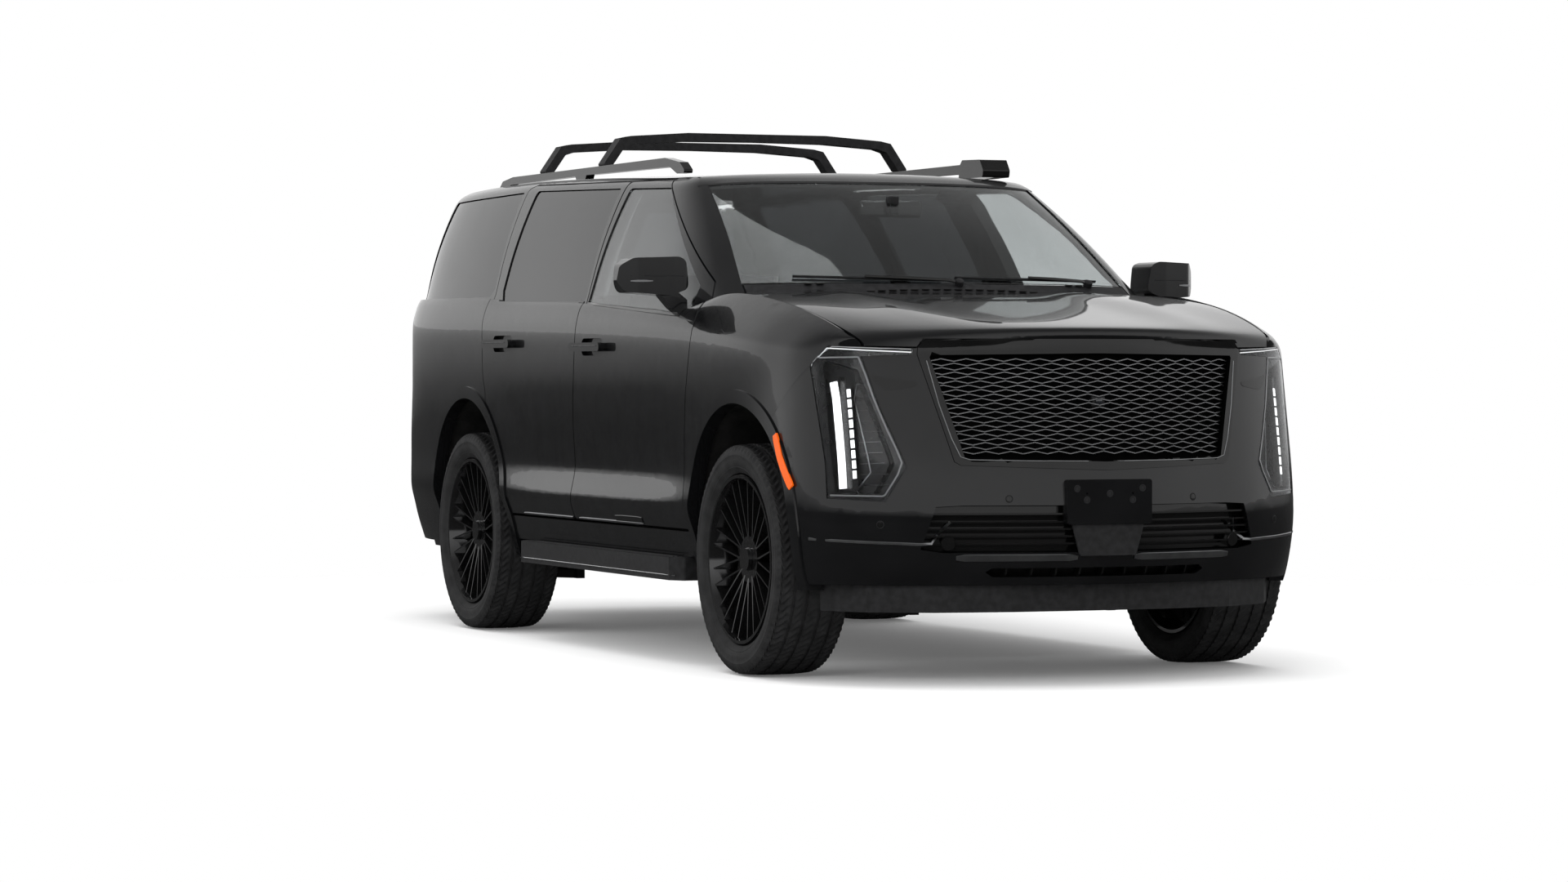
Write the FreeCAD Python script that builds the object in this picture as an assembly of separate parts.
import FreeCAD, Part
import math
import os

V = FreeCAD.Vector

# Driving dimensions of the whole vehicle, in millimetres.
# +X runs forward, +Y to the vehicle's left, +Z up, and the ground is z = 0.
LENGTH = 5382.0
BODY_WIDTH = 2060.0
HEIGHT = 1948.0
WHEELBASE = 3071.0
FRONT_OVERHANG = 985.0
TRACK = 1738.0
TYRE_RADIUS = 419.0
TYRE_WIDTH = 285.0
RIM_RADIUS = 305.0
HALF_LENGTH = LENGTH / 2
HALF_WIDTH = BODY_WIDTH / 2
HALF_TRACK = TRACK / 2
FRONT_AXLE_X = HALF_LENGTH - FRONT_OVERHANG
REAR_AXLE_X = FRONT_AXLE_X - WHEELBASE
KINGPIN_INSET = 60.0
KINGPIN_Y = HALF_TRACK - KINGPIN_INSET

# Wall thicknesses and clearances.
FASCIA_WALL = 34.0
SIDE_WALL = 40.0
DOOR_WALL = 92.0
DOOR_SKIN = 30.0
DOOR_STEP = 14.0
FRAME_WALL = 22.0
PILLAR_WALL = 46.0
ROOF_WALL = 26.0
HOOD_WALL = 24.0
HOOD_LIFT = 60.0
GLASS_WALL = 6.0
SHUT_GAP = 5.5
SEAT_GAP = 0.3
OVERRUN = 400.0
GLASS_REBATE = 5.0
SCULPT_DEPTH = 20.0
GLASS_BULGE = 15.0

# Stations of the body skin round the right half, from the middle of the nose to the
# middle of the tail. Plan x and y at the widest height, how far the nose's lean and the
# tail's lean apply, how deep the door sculpture is, the height of the shoulder line, and
# the x, y and z of the skin's top edge. Lengths are shares of HALF_LENGTH in x, of
# HALF_WIDTH in y and of HEIGHT in z.
STATION_SHARES = [
    (0.9962, 0.0, 1.0, 0.0, 0.0, 0.608, 0.957, 0.0, 0.6290),
    (0.9940, 0.136, 1.0, 0.0, 0.0, 0.608, 0.955, 0.134, 0.6290),
    (0.9860, 0.267, 1.0, 0.0, 0.0, 0.608, 0.949, 0.262, 0.6290),
    (0.9722, 0.388, 1.0, 0.0, 0.0, 0.608, 0.942, 0.381, 0.6285),
    (0.9588, 0.505, 1.0, 0.0, 0.0, 0.608, 0.935, 0.493, 0.6275),
    (0.945, 0.612, 1.0, 0.0, 0.0, 0.608, 0.928, 0.597, 0.6250),
    (0.925, 0.714, 1.0, 0.0, 0.0, 0.608, 0.907, 0.694, 0.613),
    (0.899, 0.8155, 1.0, 0.0, 0.0, 0.608, 0.886, 0.767, 0.6165),
    (0.864, 0.908, 1.0, 0.0, 0.0, 0.608, 0.862, 0.806, 0.628),
    (0.821, 0.963, 0.75, 0.0, 0.0, 0.608, 0.810, 0.821, 0.652),
    (0.7655, 0.9845, 0.35, 0.0, 0.0, 0.614, 0.754, 0.831, 0.6705),
    (0.706, 0.990, 0.1, 0.0, 0.0, 0.621, 0.699, 0.839, 0.6853),
    (0.632, 0.992, 0.0, 0.0, 0.0, 0.628, 0.628, 0.847, 0.699),
    (0.557, 0.992, 0.0, 0.0, 0.0, 0.635, 0.554, 0.856, 0.710),
    (0.483, 0.992, 0.0, 0.0, 0.15, 0.6405, 0.479, 0.872, 0.712),
    (0.416, 0.992, 0.0, 0.0, 0.5, 0.645, 0.418, 0.930, 0.681),
    (0.334, 0.992, 0.0, 0.0, 0.9, 0.649, 0.334, 0.947, 0.679),
    (0.249, 0.992, 0.0, 0.0, 1.0, 0.6525, 0.249, 0.9485, 0.685),
    (0.1635, 0.992, 0.0, 0.0, 1.0, 0.6555, 0.1635, 0.9485, 0.690),
    (0.078, 0.992, 0.0, 0.0, 1.0, 0.6585, 0.078, 0.9485, 0.6966),
    (-0.0075, 0.992, 0.0, 0.0, 1.0, 0.661, -0.0075, 0.9485, 0.702),
    (-0.093, 0.992, 0.0, 0.0, 1.0, 0.663, -0.093, 0.9485, 0.705),
    (-0.178, 0.992, 0.0, 0.0, 0.9, 0.665, -0.178, 0.9485, 0.7074),
    (-0.264, 0.992, 0.0, 0.0, 0.7, 0.667, -0.264, 0.9485, 0.7094),
    (-0.349, 0.992, 0.0, 0.0, 0.3, 0.669, -0.349, 0.9485, 0.7125),
    (-0.427, 0.992, 0.0, 0.0, 0.0, 0.671, -0.427, 0.9485, 0.720),
    (-0.513, 0.992, 0.0, 0.0, 0.0, 0.6725, -0.513, 0.9485, 0.7235),
    (-0.5946, 0.991, 0.0, 0.0, 0.0, 0.674, -0.5946, 0.947, 0.7245),
    (-0.676, 0.988, 0.0, 0.0, 0.0, 0.6755, -0.675, 0.944, 0.725),
    (-0.754, 0.979, 0.0, 0.0, 0.0, 0.677, -0.752, 0.935, 0.7254),
    (-0.825, 0.960, 0.0, 0.0, 0.0, 0.6785, -0.821, 0.917, 0.726),
    (-0.881, 0.925, 0.0, 0.3, 0.0, 0.6795, -0.874, 0.882, 0.726),
    (-0.925, 0.868, 0.0, 0.7, 0.0, 0.681, -0.915, 0.828, 0.726),
    (-0.959, 0.775, 0.0, 1.0, 0.0, 0.681, -0.946, 0.74, 0.726),
    (-0.9796, 0.640, 0.0, 1.0, 0.0, 0.681, -0.965, 0.612, 0.726),
    (-0.9915, 0.460, 0.0, 1.0, 0.0, 0.681, -0.976, 0.44, 0.726),
    (-0.9974, 0.255, 0.0, 1.0, 0.0, 0.681, -0.982, 0.245, 0.726),
    (-1.0, 0.0, 0.0, 1.0, 0.0, 0.681, -0.984, 0.0, 0.726),
]

# Rows of the body skin up to the shoulder: height as a share of HEIGHT, then how far the
# skin is drawn in at the side, nose and tail as shares of HALF_WIDTH, and how much of the
# door sculpture lies on the row.
BODY_ROW_SHARES = [
    (0.154, 0.087, 0.100, 0.117, 0.0),
    (0.195, 0.064, 0.040, 0.068, 0.0),
    (0.231, 0.049, 0.016, 0.020, 0.0),
    (0.259, 0.037, 0.005, 0.004, 0.0),
    (0.2875, 0.0136, 0.0, 0.0, 0.0),
    (0.308, 0.005, 0.0, 0.0, 0.05),
    (0.334, 0.006, 0.003, 0.0, 0.55),
    (0.367, 0.008, 0.010, 0.0, 1.0),
    (0.400, 0.007, 0.019, 0.0, 0.65),
    (0.452, 0.005, 0.037, 0.010, 0.2),
    (0.513, 0.004, 0.060, 0.040, 0.0),
    (0.565, 0.003, 0.078, 0.044, 0.0),
]
SHOULDER_DROP_SHARE = 0.016
SHOULDER_INSET_SHARES = (0.003, 0.088, 0.046)
SHOULDER_TOP_INSET_SHARES = (0.007, 0.095, 0.048)
CROWN_ROW_SHARES = (0.3, 0.65, 1.0)
CROWN_RISE_SHARES = (0.006, 0.008, 0.0)

# Stations of the glasshouse round the right half, from the middle of the windshield to
# the middle of the rear window: x, y and z at the belt, then x, y and z at the top of the
# glass, and how far the windshield's slope applies above it.
GLASS_SHARES = [
    (0.498, 0.0, 0.7315, 0.2564, 0.0, 0.942, 1.0),
    (0.4965, 0.2136, 0.7315, 0.2553, 0.194, 0.942, 1.0),
    (0.4905, 0.427, 0.731, 0.2505, 0.388, 0.941, 1.0),
    (0.4775, 0.621, 0.730, 0.2408, 0.553, 0.939, 1.0),
    (0.459, 0.757, 0.729, 0.2274, 0.6524, 0.935, 0.9),
    (0.446, 0.837, 0.7190, 0.2137, 0.695, 0.932, 0.6),
    (0.424, 0.898, 0.6905, 0.1895, 0.720, 0.930, 0.2),
    (0.381, 0.923, 0.6766, 0.156, 0.730, 0.930, 0.0),
    (0.3084, 0.930, 0.680, 0.1078, 0.735, 0.931, 0.0),
    (0.223, 0.933, 0.686, 0.0446, 0.738, 0.934, 0.0),
    (0.130, 0.934, 0.693, -0.030, 0.740, 0.938, 0.0),
    (0.037, 0.934, 0.699, -0.1115, 0.740, 0.9425, 0.0),
    (-0.063, 0.934, 0.704, -0.2007, 0.740, 0.947, 0.0),
    (-0.1635, 0.934, 0.7074, -0.290, 0.740, 0.950, 0.0),
    (-0.264, 0.934, 0.710, -0.379, 0.740, 0.953, 0.0),
    (-0.364, 0.934, 0.7125, -0.468, 0.740, 0.955, 0.0),
    (-0.461, 0.934, 0.7187, -0.557, 0.740, 0.9553, 0.0),
    (-0.557, 0.933, 0.723, -0.6466, 0.739, 0.955, 0.0),
    (-0.654, 0.929, 0.724, -0.732, 0.736, 0.954, 0.0),
    (-0.743, 0.918, 0.725, -0.810, 0.730, 0.952, 0.0),
    (-0.8175, 0.897, 0.7254, -0.8696, 0.716, 0.951, 0.0),
    (-0.873, 0.860, 0.726, -0.910, 0.690, 0.950, 0.0),
    (-0.914, 0.800, 0.726, -0.940, 0.642, 0.9487, 0.0),
    (-0.9457, 0.700, 0.726, -0.9588, 0.560, 0.948, 0.0),
    (-0.964, 0.550, 0.726, -0.968, 0.440, 0.948, 0.0),
    (-0.974, 0.370, 0.726, -0.972, 0.300, 0.948, 0.0),
    (-0.979, 0.185, 0.726, -0.9744, 0.150, 0.948, 0.0),
    (-0.981, 0.0, 0.726, -0.9755, 0.0, 0.948, 0.0),
]
GLASS_ROW_SHARES = (-0.12, 0.0, 0.25, 0.5, 0.75, 1.0)
# Rise and draw-in of the two rows above the glass, at the side and at the windshield.
CANT_SIDE_SHARES = ((0.013, 0.022), (0.022, 0.060))
CANT_FRONT_SHARES = ((0.009, 0.040), (0.017, 0.095))
ROOF_CROWN_SHARE = 0.012
# A bow of this factor times share times the rest of the share reaches its full depth half way.
BOW = 4
CUBIC = 3
ROUND_REACH_SHARE = 0.48
STRAIGHT_DEGREES = 88
TINY = 1e-6
FULL_TURN = 360


def mix(a, b, share):
    return a + (b - a) * share


def plan_normals(points):
    """Unit vectors that point into the body at each plan point of the right half."""
    ring = [(points[1][0], -points[1][1])] + points + [(points[-2][0], -points[-2][1])]
    normals = []
    for before, after in zip(ring, ring[2:]):
        step = V(after[0] - before[0], after[1] - before[1], 0).normalize()
        normals.append(V(step.y, -step.x, 0))
    return normals


def body_poles(depth):
    """Pole columns of the right half of the body skin, drawn in by a depth."""
    plan = [(row[0] * HALF_LENGTH, -row[1] * HALF_WIDTH) for row in STATION_SHARES]
    normals = plan_normals(plan)
    columns = []
    for row, (x, y), normal in zip(STATION_SHARES, plan, normals):
        _, _, nose, tail, sculpt, shoulder_share, top_x, top_y, top_z = row
        lean = (normal * (1 - nose - tail) + V(-1, 0, 0) * nose + V(1, 0, 0) * tail).normalize()
        heights = [(share * HEIGHT, insets, sunk) for share, *insets, sunk in BODY_ROW_SHARES]
        shoulder = shoulder_share * HEIGHT
        heights.append((shoulder - SHOULDER_DROP_SHARE * HEIGHT, SHOULDER_INSET_SHARES, 0.0))
        heights.append((shoulder, SHOULDER_TOP_INSET_SHARES, 0.0))
        column = []
        for height, (side, front, rear), sunk in heights:
            inset = side + (front - side) * nose + (rear - side) * tail
            place = V(x, y, height) + lean * (inset * HALF_WIDTH)
            place += normal * (sunk * sculpt * SCULPT_DEPTH + depth)
            column.append(place)
        base = V(column[-1]) - normal * depth
        top = V(top_x * HALF_LENGTH, -top_y * HALF_WIDTH, top_z * HEIGHT)
        for share, rise in zip(CROWN_ROW_SHARES, CROWN_RISE_SHARES):
            column.append(base + (top - base) * share + V(0, 0, rise * HEIGHT) + normal * depth)
        columns.append(column)
    return columns


def glass_poles(depth):
    """Pole columns of the right half of the glasshouse skin, drawn in by a depth."""
    plan = [(row[0] * HALF_LENGTH, -row[1] * HALF_WIDTH) for row in GLASS_SHARES]
    columns = []
    for row, normal in zip(GLASS_SHARES, plan_normals(plan)):
        belt_x, belt_y, belt_z, top_x, top_y, top_z, front = row
        belt = V(belt_x * HALF_LENGTH, -belt_y * HALF_WIDTH, belt_z * HEIGHT)
        top = V(top_x * HALF_LENGTH, -top_y * HALF_WIDTH, top_z * HEIGHT)
        rise = top - belt
        side = rise.cross(V(normal.y, -normal.x, 0)).normalize()
        inward = side if side.dot(normal) > 0 else -side
        column = []
        for share in GLASS_ROW_SHARES:
            bulge = BOW * share * (1 - share) * GLASS_BULGE if share > 0 else 0
            column.append(belt + rise * share + inward * (depth - bulge))
        for (up, draw), (up_front, draw_front) in zip(CANT_SIDE_SHARES, CANT_FRONT_SHARES):
            lift = mix(up, up_front, front) * HEIGHT
            shift = mix(draw, draw_front, front) * HALF_WIDTH
            below = (inward + V(0, 0, -1)).normalize()
            column.append(top + V(0, 0, lift) + normal * shift + below * depth)
        columns.append(column)
    return columns


def mirrored(point):
    return V(point.x, -point.y, point.z)


def whole(columns):
    """Columns from the left side across the first column to the right side."""
    return [[mirrored(p) for p in column] for column in columns[:0:-1]] + columns


def surface(poles, u_degree=CUBIC, v_degree=CUBIC):
    """A surface on even knots, so that neighbouring pieces of one skin agree."""
    patch = Part.BSplineSurface()
    spans = [len(poles) - u_degree, len(poles[0]) - v_degree]
    knots = [[float(k) for k in range(count + 1)] for count in spans]
    u_mults = [u_degree + 1] + [1] * (spans[0] - 1) + [u_degree + 1]
    v_mults = [v_degree + 1] + [1] * (spans[1] - 1) + [v_degree + 1]
    patch.buildFromPolesMultsKnots(poles, u_mults, v_mults, knots[0], knots[1],
                                   False, False, u_degree, v_degree)
    return patch.toShape()


def slab(outer, inner):
    """The closed solid between two skins with matching poles."""
    faces = [surface(outer), surface(inner)]
    faces.append(surface([outer[0], inner[0]], 1))
    faces.append(surface([outer[-1], inner[-1]], 1))
    faces.append(surface([[c[0] for c in outer], [c[0] for c in inner]], 1))
    faces.append(surface([[c[-1] for c in outer], [c[-1] for c in inner]], 1))
    shell = Part.makeShell(faces)
    shell.sewShape()
    solid = Part.Solid(shell)
    if solid.Volume < 0:
        solid.reverse()
    return solid


def outline(points, radius, lift):
    """A closed wire through flat points, its corners rounded, raised by lift()."""
    flat = [V(p[0], p[1], 0) for p in points]
    count = len(flat)
    corners = []
    for index, corner in enumerate(flat):
        size = radius[index] if isinstance(radius, (list, tuple)) else radius
        back = flat[index - 1] - corner
        ahead = flat[(index + 1) % count] - corner
        half = back.getAngle(ahead) / 2
        most = ROUND_REACH_SHARE * min(back.Length, ahead.Length)
        reach = min(size / math.tan(half), most)
        if size <= 0 or half > math.radians(STRAIGHT_DEGREES):
            corners.append((corner, None, corner))
            continue
        size = reach * math.tan(half)
        back.normalize()
        ahead.normalize()
        middle = (back + ahead).normalize()
        crest = corner + middle * (size / math.sin(half) - size)
        corners.append((corner + back * reach, crest, corner + ahead * reach))
    edges = []
    for index, (start, crest, end) in enumerate(corners):
        if crest is not None:
            edges.append(Part.Arc(lift(start), lift(crest), lift(end)).toShape())
        after = corners[(index + 1) % count][0]
        if (after - end).Length > TINY:
            edges.append(Part.makeLine(lift(end), lift(after)))
    return Part.Wire(edges)


def prism_y(points, radius, y_low, y_high):
    """A solid from x and z points, run along Y."""
    wire = outline(points, radius, lambda p: V(p.x, y_low, p.y))
    return Part.Face(wire).extrude(V(0, y_high - y_low, 0))


def prism_x(points, radius, x_low, x_high):
    """A solid from y and z points, run along X."""
    wire = outline(points, radius, lambda p: V(x_low, p.x, p.y))
    return Part.Face(wire).extrude(V(x_high - x_low, 0, 0))


def prism_z(points, radius, z_low, z_high):
    """A solid from x and y points, run along Z."""
    wire = outline(points, radius, lambda p: V(p.x, p.y, z_low))
    return Part.Face(wire).extrude(V(0, 0, z_high - z_low))


def grown(points, gap):
    """The outline moved outward by a gap, corner by corner."""
    area = sum(a[0] * b[1] - b[0] * a[1] for a, b in zip(points, points[1:] + points[:1]))
    turn = 1 if area > 0 else -1
    moved = []
    for index, corner in enumerate(points):
        before = V(corner[0] - points[index - 1][0], corner[1] - points[index - 1][1], 0).normalize()
        following = points[(index + 1) % len(points)]
        after = V(following[0] - corner[0], following[1] - corner[1], 0).normalize()
        out_before = V(before.y, -before.x, 0) * turn
        out_after = V(after.y, -after.x, 0) * turn
        scale = gap / (1 + out_before.dot(out_after))
        step = (out_before + out_after) * scale
        moved.append((corner[0] + step.x, corner[1] + step.y))
    return moved


def block(x_low, x_high, y_low, y_high, z_low, z_high):
    return Part.makeBox(x_high - x_low, y_high - y_low, z_high - z_low, V(x_low, y_low, z_low))


def rod(start, end, radius):
    axis = end - start
    return Part.makeCylinder(radius, axis.Length, start, axis)


def mirror_y(shape):
    return shape.mirror(V(0, 0, 0), V(0, 1, 0))


def pair(shape):
    """The right-hand solid with its left-hand mirror, as two solids of one node."""
    return Part.makeCompound(shape.Solids + mirror_y(shape).Solids)


def fused(*shapes):
    body = shapes[0].multiFuse(list(shapes[1:])) if len(shapes) > 1 else shapes[0]
    return body.removeSplitter()


def main_solid(shape):
    return max(shape.Solids, key=lambda solid: solid.Volume)


def side_point(x_share, z_share):
    return (x_share * HALF_LENGTH, z_share * HEIGHT)


def side_points(shares):
    return [side_point(x, z) for x, z in shares]


def face_points(shares):
    """Points of a front view, right half, from shares of HALF_WIDTH and HEIGHT."""
    return [(-y * HALF_WIDTH, z * HEIGHT) for y, z in shares]


# Slabs of the two skins. Each is made from a few columns more than its pieces use.
NOSE_COLUMNS = 14
TAIL_COLUMNS = 11
SIDE_FIRST = 5
SIDE_LAST = -3
WIND_COLUMNS = 9
REAR_GLASS_COLUMNS = 9
GLASS_SIDE_FIRST = 1
GLASS_SIDE_LAST = -2


def nose_slab(start, end):
    return slab(whole(body_poles(start)[:NOSE_COLUMNS]), whole(body_poles(end)[:NOSE_COLUMNS]))


def tail_slab(start, end):
    outer = whole(body_poles(start)[:-TAIL_COLUMNS - 1:-1])
    inner = whole(body_poles(end)[:-TAIL_COLUMNS - 1:-1])
    return slab(outer, inner)


def side_slab(start, end):
    return slab(body_poles(start)[SIDE_FIRST:SIDE_LAST], body_poles(end)[SIDE_FIRST:SIDE_LAST])


def glass_side_slab(start, end):
    outer = glass_poles(start)[GLASS_SIDE_FIRST:GLASS_SIDE_LAST]
    inner = glass_poles(end)[GLASS_SIDE_FIRST:GLASS_SIDE_LAST]
    return slab(outer, inner)


def wind_slab(start, end):
    return slab(whole(glass_poles(start)[:WIND_COLUMNS]), whole(glass_poles(end)[:WIND_COLUMNS]))


def rear_glass_slab(start, end):
    outer = whole(glass_poles(start)[:-REAR_GLASS_COLUMNS - 1:-1])
    inner = whole(glass_poles(end)[:-REAR_GLASS_COLUMNS - 1:-1])
    return slab(outer, inner)


# Side outlines, as shares of HALF_LENGTH and HEIGHT.
FRONT_DOOR_SHARES = [(0.4385, 0.262), (0.4385, 0.360), (0.453, 0.520), (0.474, 0.632), (0.470, 0.650),
                     (0.418, 0.7335), (0.118, 0.9475), (-0.040, 0.952), (0.0075, 0.660),
                     (-0.024, 0.262)]
REAR_DOOR_SHARES = [(-0.0265, 0.262), (0.005, 0.660), (-0.0443, 0.9522), (-0.465, 0.967),
                    (-0.483, 0.960), (-0.427, 0.730),
                    (-0.4265, 0.668), (-0.4215, 0.553), (-0.4106, 0.519), (-0.4106, 0.262)]
# The opening for both doors of a side: the front door's front and top, the rear door's top and rear.
SIDE_OPENING_SHARES = FRONT_DOOR_SHARES[:7] + [(-0.0422, 0.9521)] + REAR_DOOR_SHARES[3:]
FRONT_WINDOW_SHARES = [(0.404, 0.6715), (0.395, 0.727), (0.141, 0.931), (-0.018, 0.938),
                       (0.0045, 0.705), (0.0, 0.7025), (0.274, 0.684)]
REAR_WINDOW_SHARES = [(-0.010, 0.7055), (-0.059, 0.940), (-0.436, 0.9545), (-0.400, 0.737),
                      (-0.385, 0.7135), (-0.308, 0.7115)]
QUARTER_WINDOW_SHARES = [(-0.4395, 0.740), (-0.499, 0.9545), (-0.868, 0.950), (-0.880, 0.728),
                         (-0.452, 0.724)]
FENDER_SHARES = [(0.4406, 0.257), (0.4406, 0.360), (0.4551, 0.520), (0.4761, 0.632), (0.4725, 0.652),
                 (0.4210, 0.745), (0.845, 0.745), (0.845, 0.612), (0.8245, 0.570), (0.735, 0.459),
                 (0.700, 0.257)]
DOOR_CORNER = 13.0
WINDOW_CORNER = 16.0
SPLIT_GAP = 0.8

# Wheel arches: a round opening above the axle, with straight sides below its centre.
ARCH_RADIUS = 464.0
ARCH_CENTRE_Z = 518.0
ARCH_LIP = 50.0
LIP_PROUD = 7.0
LIP_DEPTH = 48.0


def arch_tool(axle_x, radius):
    """The arch opening as a solid across the right side."""
    left = V(axle_x - radius, -HALF_WIDTH - OVERRUN, ARCH_CENTRE_Z)
    right = V(axle_x + radius, -HALF_WIDTH - OVERRUN, ARCH_CENTRE_Z)
    crown = V(axle_x, -HALF_WIDTH - OVERRUN, ARCH_CENTRE_Z + radius)
    low_left = V(left.x, left.y, 0)
    low_right = V(right.x, right.y, 0)
    edges = [Part.Arc(left, crown, right).toShape(), Part.makeLine(right, low_right),
             Part.makeLine(low_right, low_left), Part.makeLine(low_left, left)]
    return Part.Face(Part.Wire(edges)).extrude(V(0, OVERRUN * 2, 0))


def arch_lips():
    lip_skin = side_slab(-LIP_PROUD, LIP_DEPTH)
    floor = block(-HALF_LENGTH, HALF_LENGTH, -HALF_WIDTH - OVERRUN, 0, 0, SILL_LOW_Z)
    lips = []
    for axle_x in (FRONT_AXLE_X, REAR_AXLE_X):
        ring = arch_tool(axle_x, ARCH_RADIUS + ARCH_LIP).cut(arch_tool(axle_x, ARCH_RADIUS))
        lips.append(main_solid(lip_skin.common(ring.cut(floor))))
    return pair(Part.makeCompound(lips))


SILL_LOW_Z = 330.0
SILL_TOP_Z = 500.0
ROCKER_LOW_Z = 404.0
ROCKER_WALL = 80.0
ROCKER_INNER_Y = 880.0
FLOOR_Z = 540.0
FLOOR_THICKNESS = 24.0
LOWER_EDGE_Z = 352.0


def right_side_strip(x_low, x_high, z_low, z_high):
    return block(x_low, x_high, -HALF_WIDTH - OVERRUN, 0, z_low, z_high)


def fenders():
    skin = side_slab(0.0, SIDE_WALL)
    sheet = skin.common(prism_y(side_points(FENDER_SHARES), 0, -HALF_WIDTH - OVERRUN, 0))
    sheet = sheet.cut([arch_tool(FRONT_AXLE_X, ARCH_RADIUS + ARCH_LIP + SEAT_GAP), hood_space(HOOD_LIFT)])
    return pair(main_solid(sheet))


# Front fascia outlines, as shares of HALF_WIDTH and HEIGHT, right half of the front view.
GRILLE_SHARES = [(0.0, 0.386), (0.500, 0.3955), (0.520, 0.402), (0.612, 0.593), (0.606, 0.6155),
                 (0.590, 0.6215), (0.0, 0.6215)]
LAMP_SHARES = [(0.735, 0.331), (0.668, 0.394), (0.735, 0.500), (0.775, 0.590), (0.625, 0.593),
               (0.620, 0.6045), (0.870, 0.609), (0.921, 0.6075), (0.912, 0.580), (0.893, 0.4),
               (0.893, 0.336)]
HOOD_FACE_SHARES = [(0.0, 0.6225), (0.592, 0.6225), (0.614, 0.608), (0.765, 0.6105), (0.806, 0.630),
                    (0.900, 0.80), (0.0, 0.80)]
INTAKE_SHARES = [(0.0, 0.240), (0.560, 0.240), (0.630, 0.246), (0.585, 0.322), (0.500, 0.3245), (0.0, 0.3245)]
SLOT_SHARES = [(0.0, 0.196), (0.385, 0.196), (0.412, 0.205), (0.392, 0.2125), (0.0, 0.2125)]

PLATE_SHARES = [(0.0, 0.290), (0.159, 0.290), (0.159, 0.370), (0.0, 0.370)]
PLATE_BACK_X = 0.985 * HALF_LENGTH
PLATE_FRONT_X = 2688.5
FASCIA_BACK_X = 1416.0
PLATE_CORNER = 10.0
PLATE_HOLE_SPACING = 177.8
PLATE_HOLE_RADIUS = 3.0
PLATE_HOLE_DEPTH = 16.0
PLATE_HOLE_Z = 0.345 * HEIGHT


def symmetric(points):
    """A right-half outline joined to its mirror, both ends on the middle line."""
    return points + [(-y, z) for y, z in reversed(points) if abs(y) > 0]


def front_bumper():
    """The painted fascia, open for grille, lamps, intake and lower slot."""
    skin = nose_slab(0.0, FASCIA_WALL)
    rear_cut = grown(side_points(FENDER_SHARES), SPLIT_GAP)
    behind = prism_y(rear_cut, 0, -HALF_WIDTH - OVERRUN, HALF_WIDTH + OVERRUN)
    back = block(0, FASCIA_BACK_X, -HALF_WIDTH - OVERRUN, HALF_WIDTH + OVERRUN, 0, HEIGHT)
    tools = [behind, back, block(0, HALF_LENGTH, -HALF_WIDTH, HALF_WIDTH, 0, LOWER_EDGE_Z)]
    for shares in (GRILLE_SHARES, INTAKE_SHARES, SLOT_SHARES):
        tools.append(prism_x(symmetric(face_points(shares)), 0, FRONT_AXLE_X, HALF_LENGTH + OVERRUN))
    hood_zone = symmetric(face_points(HOOD_FACE_SHARES))
    tools.append(prism_x([(y, z - SHUT_GAP) for y, z in hood_zone], 0, FRONT_AXLE_X, HALF_LENGTH + OVERRUN))
    arch = arch_tool(FRONT_AXLE_X, ARCH_RADIUS + ARCH_LIP + SEAT_GAP)
    tools += [arch, mirror_y(arch)]
    lamp = prism_x(face_points(LAMP_SHARES), 0, FRONT_AXLE_X, HALF_LENGTH + OVERRUN)
    tools += [lamp, mirror_y(lamp)]
    plate = prism_x(symmetric(face_points(PLATE_SHARES)), PLATE_CORNER, PLATE_BACK_X, PLATE_FRONT_X)
    holes = [rod(V(PLATE_FRONT_X - PLATE_HOLE_DEPTH, y, PLATE_HOLE_Z), V(PLATE_FRONT_X, y, PLATE_HOLE_Z),
                 PLATE_HOLE_RADIUS)
             for y in (-PLATE_HOLE_SPACING / 2, PLATE_HOLE_SPACING / 2)]
    return main_solid(fused(main_solid(main_solid(skin.cut(tools)).cut(hood_space())), plate).cut(holes))


def inside_face(shares):
    """A prism along X over the windshield's area of the front view."""
    zone = symmetric(face_points(shares))
    return prism_x(zone, 0, PILLAR_TOP_X, HALF_LENGTH)


# Windshield area of the front view, then the wider area that the pillars leave open.
WINDSHIELD_SHARES = [(0.0, 0.7325), (0.420, 0.732), (0.640, 0.731), (0.767, 0.7295), (0.6600, 0.9345),
                     (0.560, 0.938),
                     (0.400, 0.940), (0.0, 0.9415)]
PILLAR_OPEN_SHARES = [(0.0, 0.580), (0.830, 0.580), (0.7697, 0.7285), (0.6625, 0.9350), (0.6625, 0.999),
                      (0.0, 0.999)]
GATE_SHARES = [(0.0, 0.4655), (0.790, 0.4655), (0.805, 0.560), (0.800, 0.700), (0.655, 0.930), (0.630, 0.985),
               (0.0, 0.985)]
REAR_WINDOW_GLASS_SHARES = [(0.0, 0.7275), (0.738, 0.7275), (0.615, 0.928), (0.590, 0.937), (0.0, 0.937)]
TAIL_LAMP_SHARES = [(0.812, 0.475), (0.900, 0.475), (0.905, 0.700), (0.830, 0.712), (0.812, 0.700)]
PILLAR_TOP_X = 0.18 * HALF_LENGTH
GATE_FRONT_X = -0.90 * HALF_LENGTH
GATE_TOP_X = -0.945 * HALF_LENGTH
TAIL_ZONE_X = -0.70 * HALF_LENGTH
QUARTER_FRONT_X = -0.40 * HALF_LENGTH
BUMPER_TOP_Z = 0.462 * HEIGHT
REAR_BUMPER_FRONT_X = -0.775 * HALF_LENGTH
GATE_WALL = 58.0
GATE_FRAME_WALL = 36.0
CORNER_GAP = 0.8
ROOF_SPLIT_Z = 0.950 * HEIGHT


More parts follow.
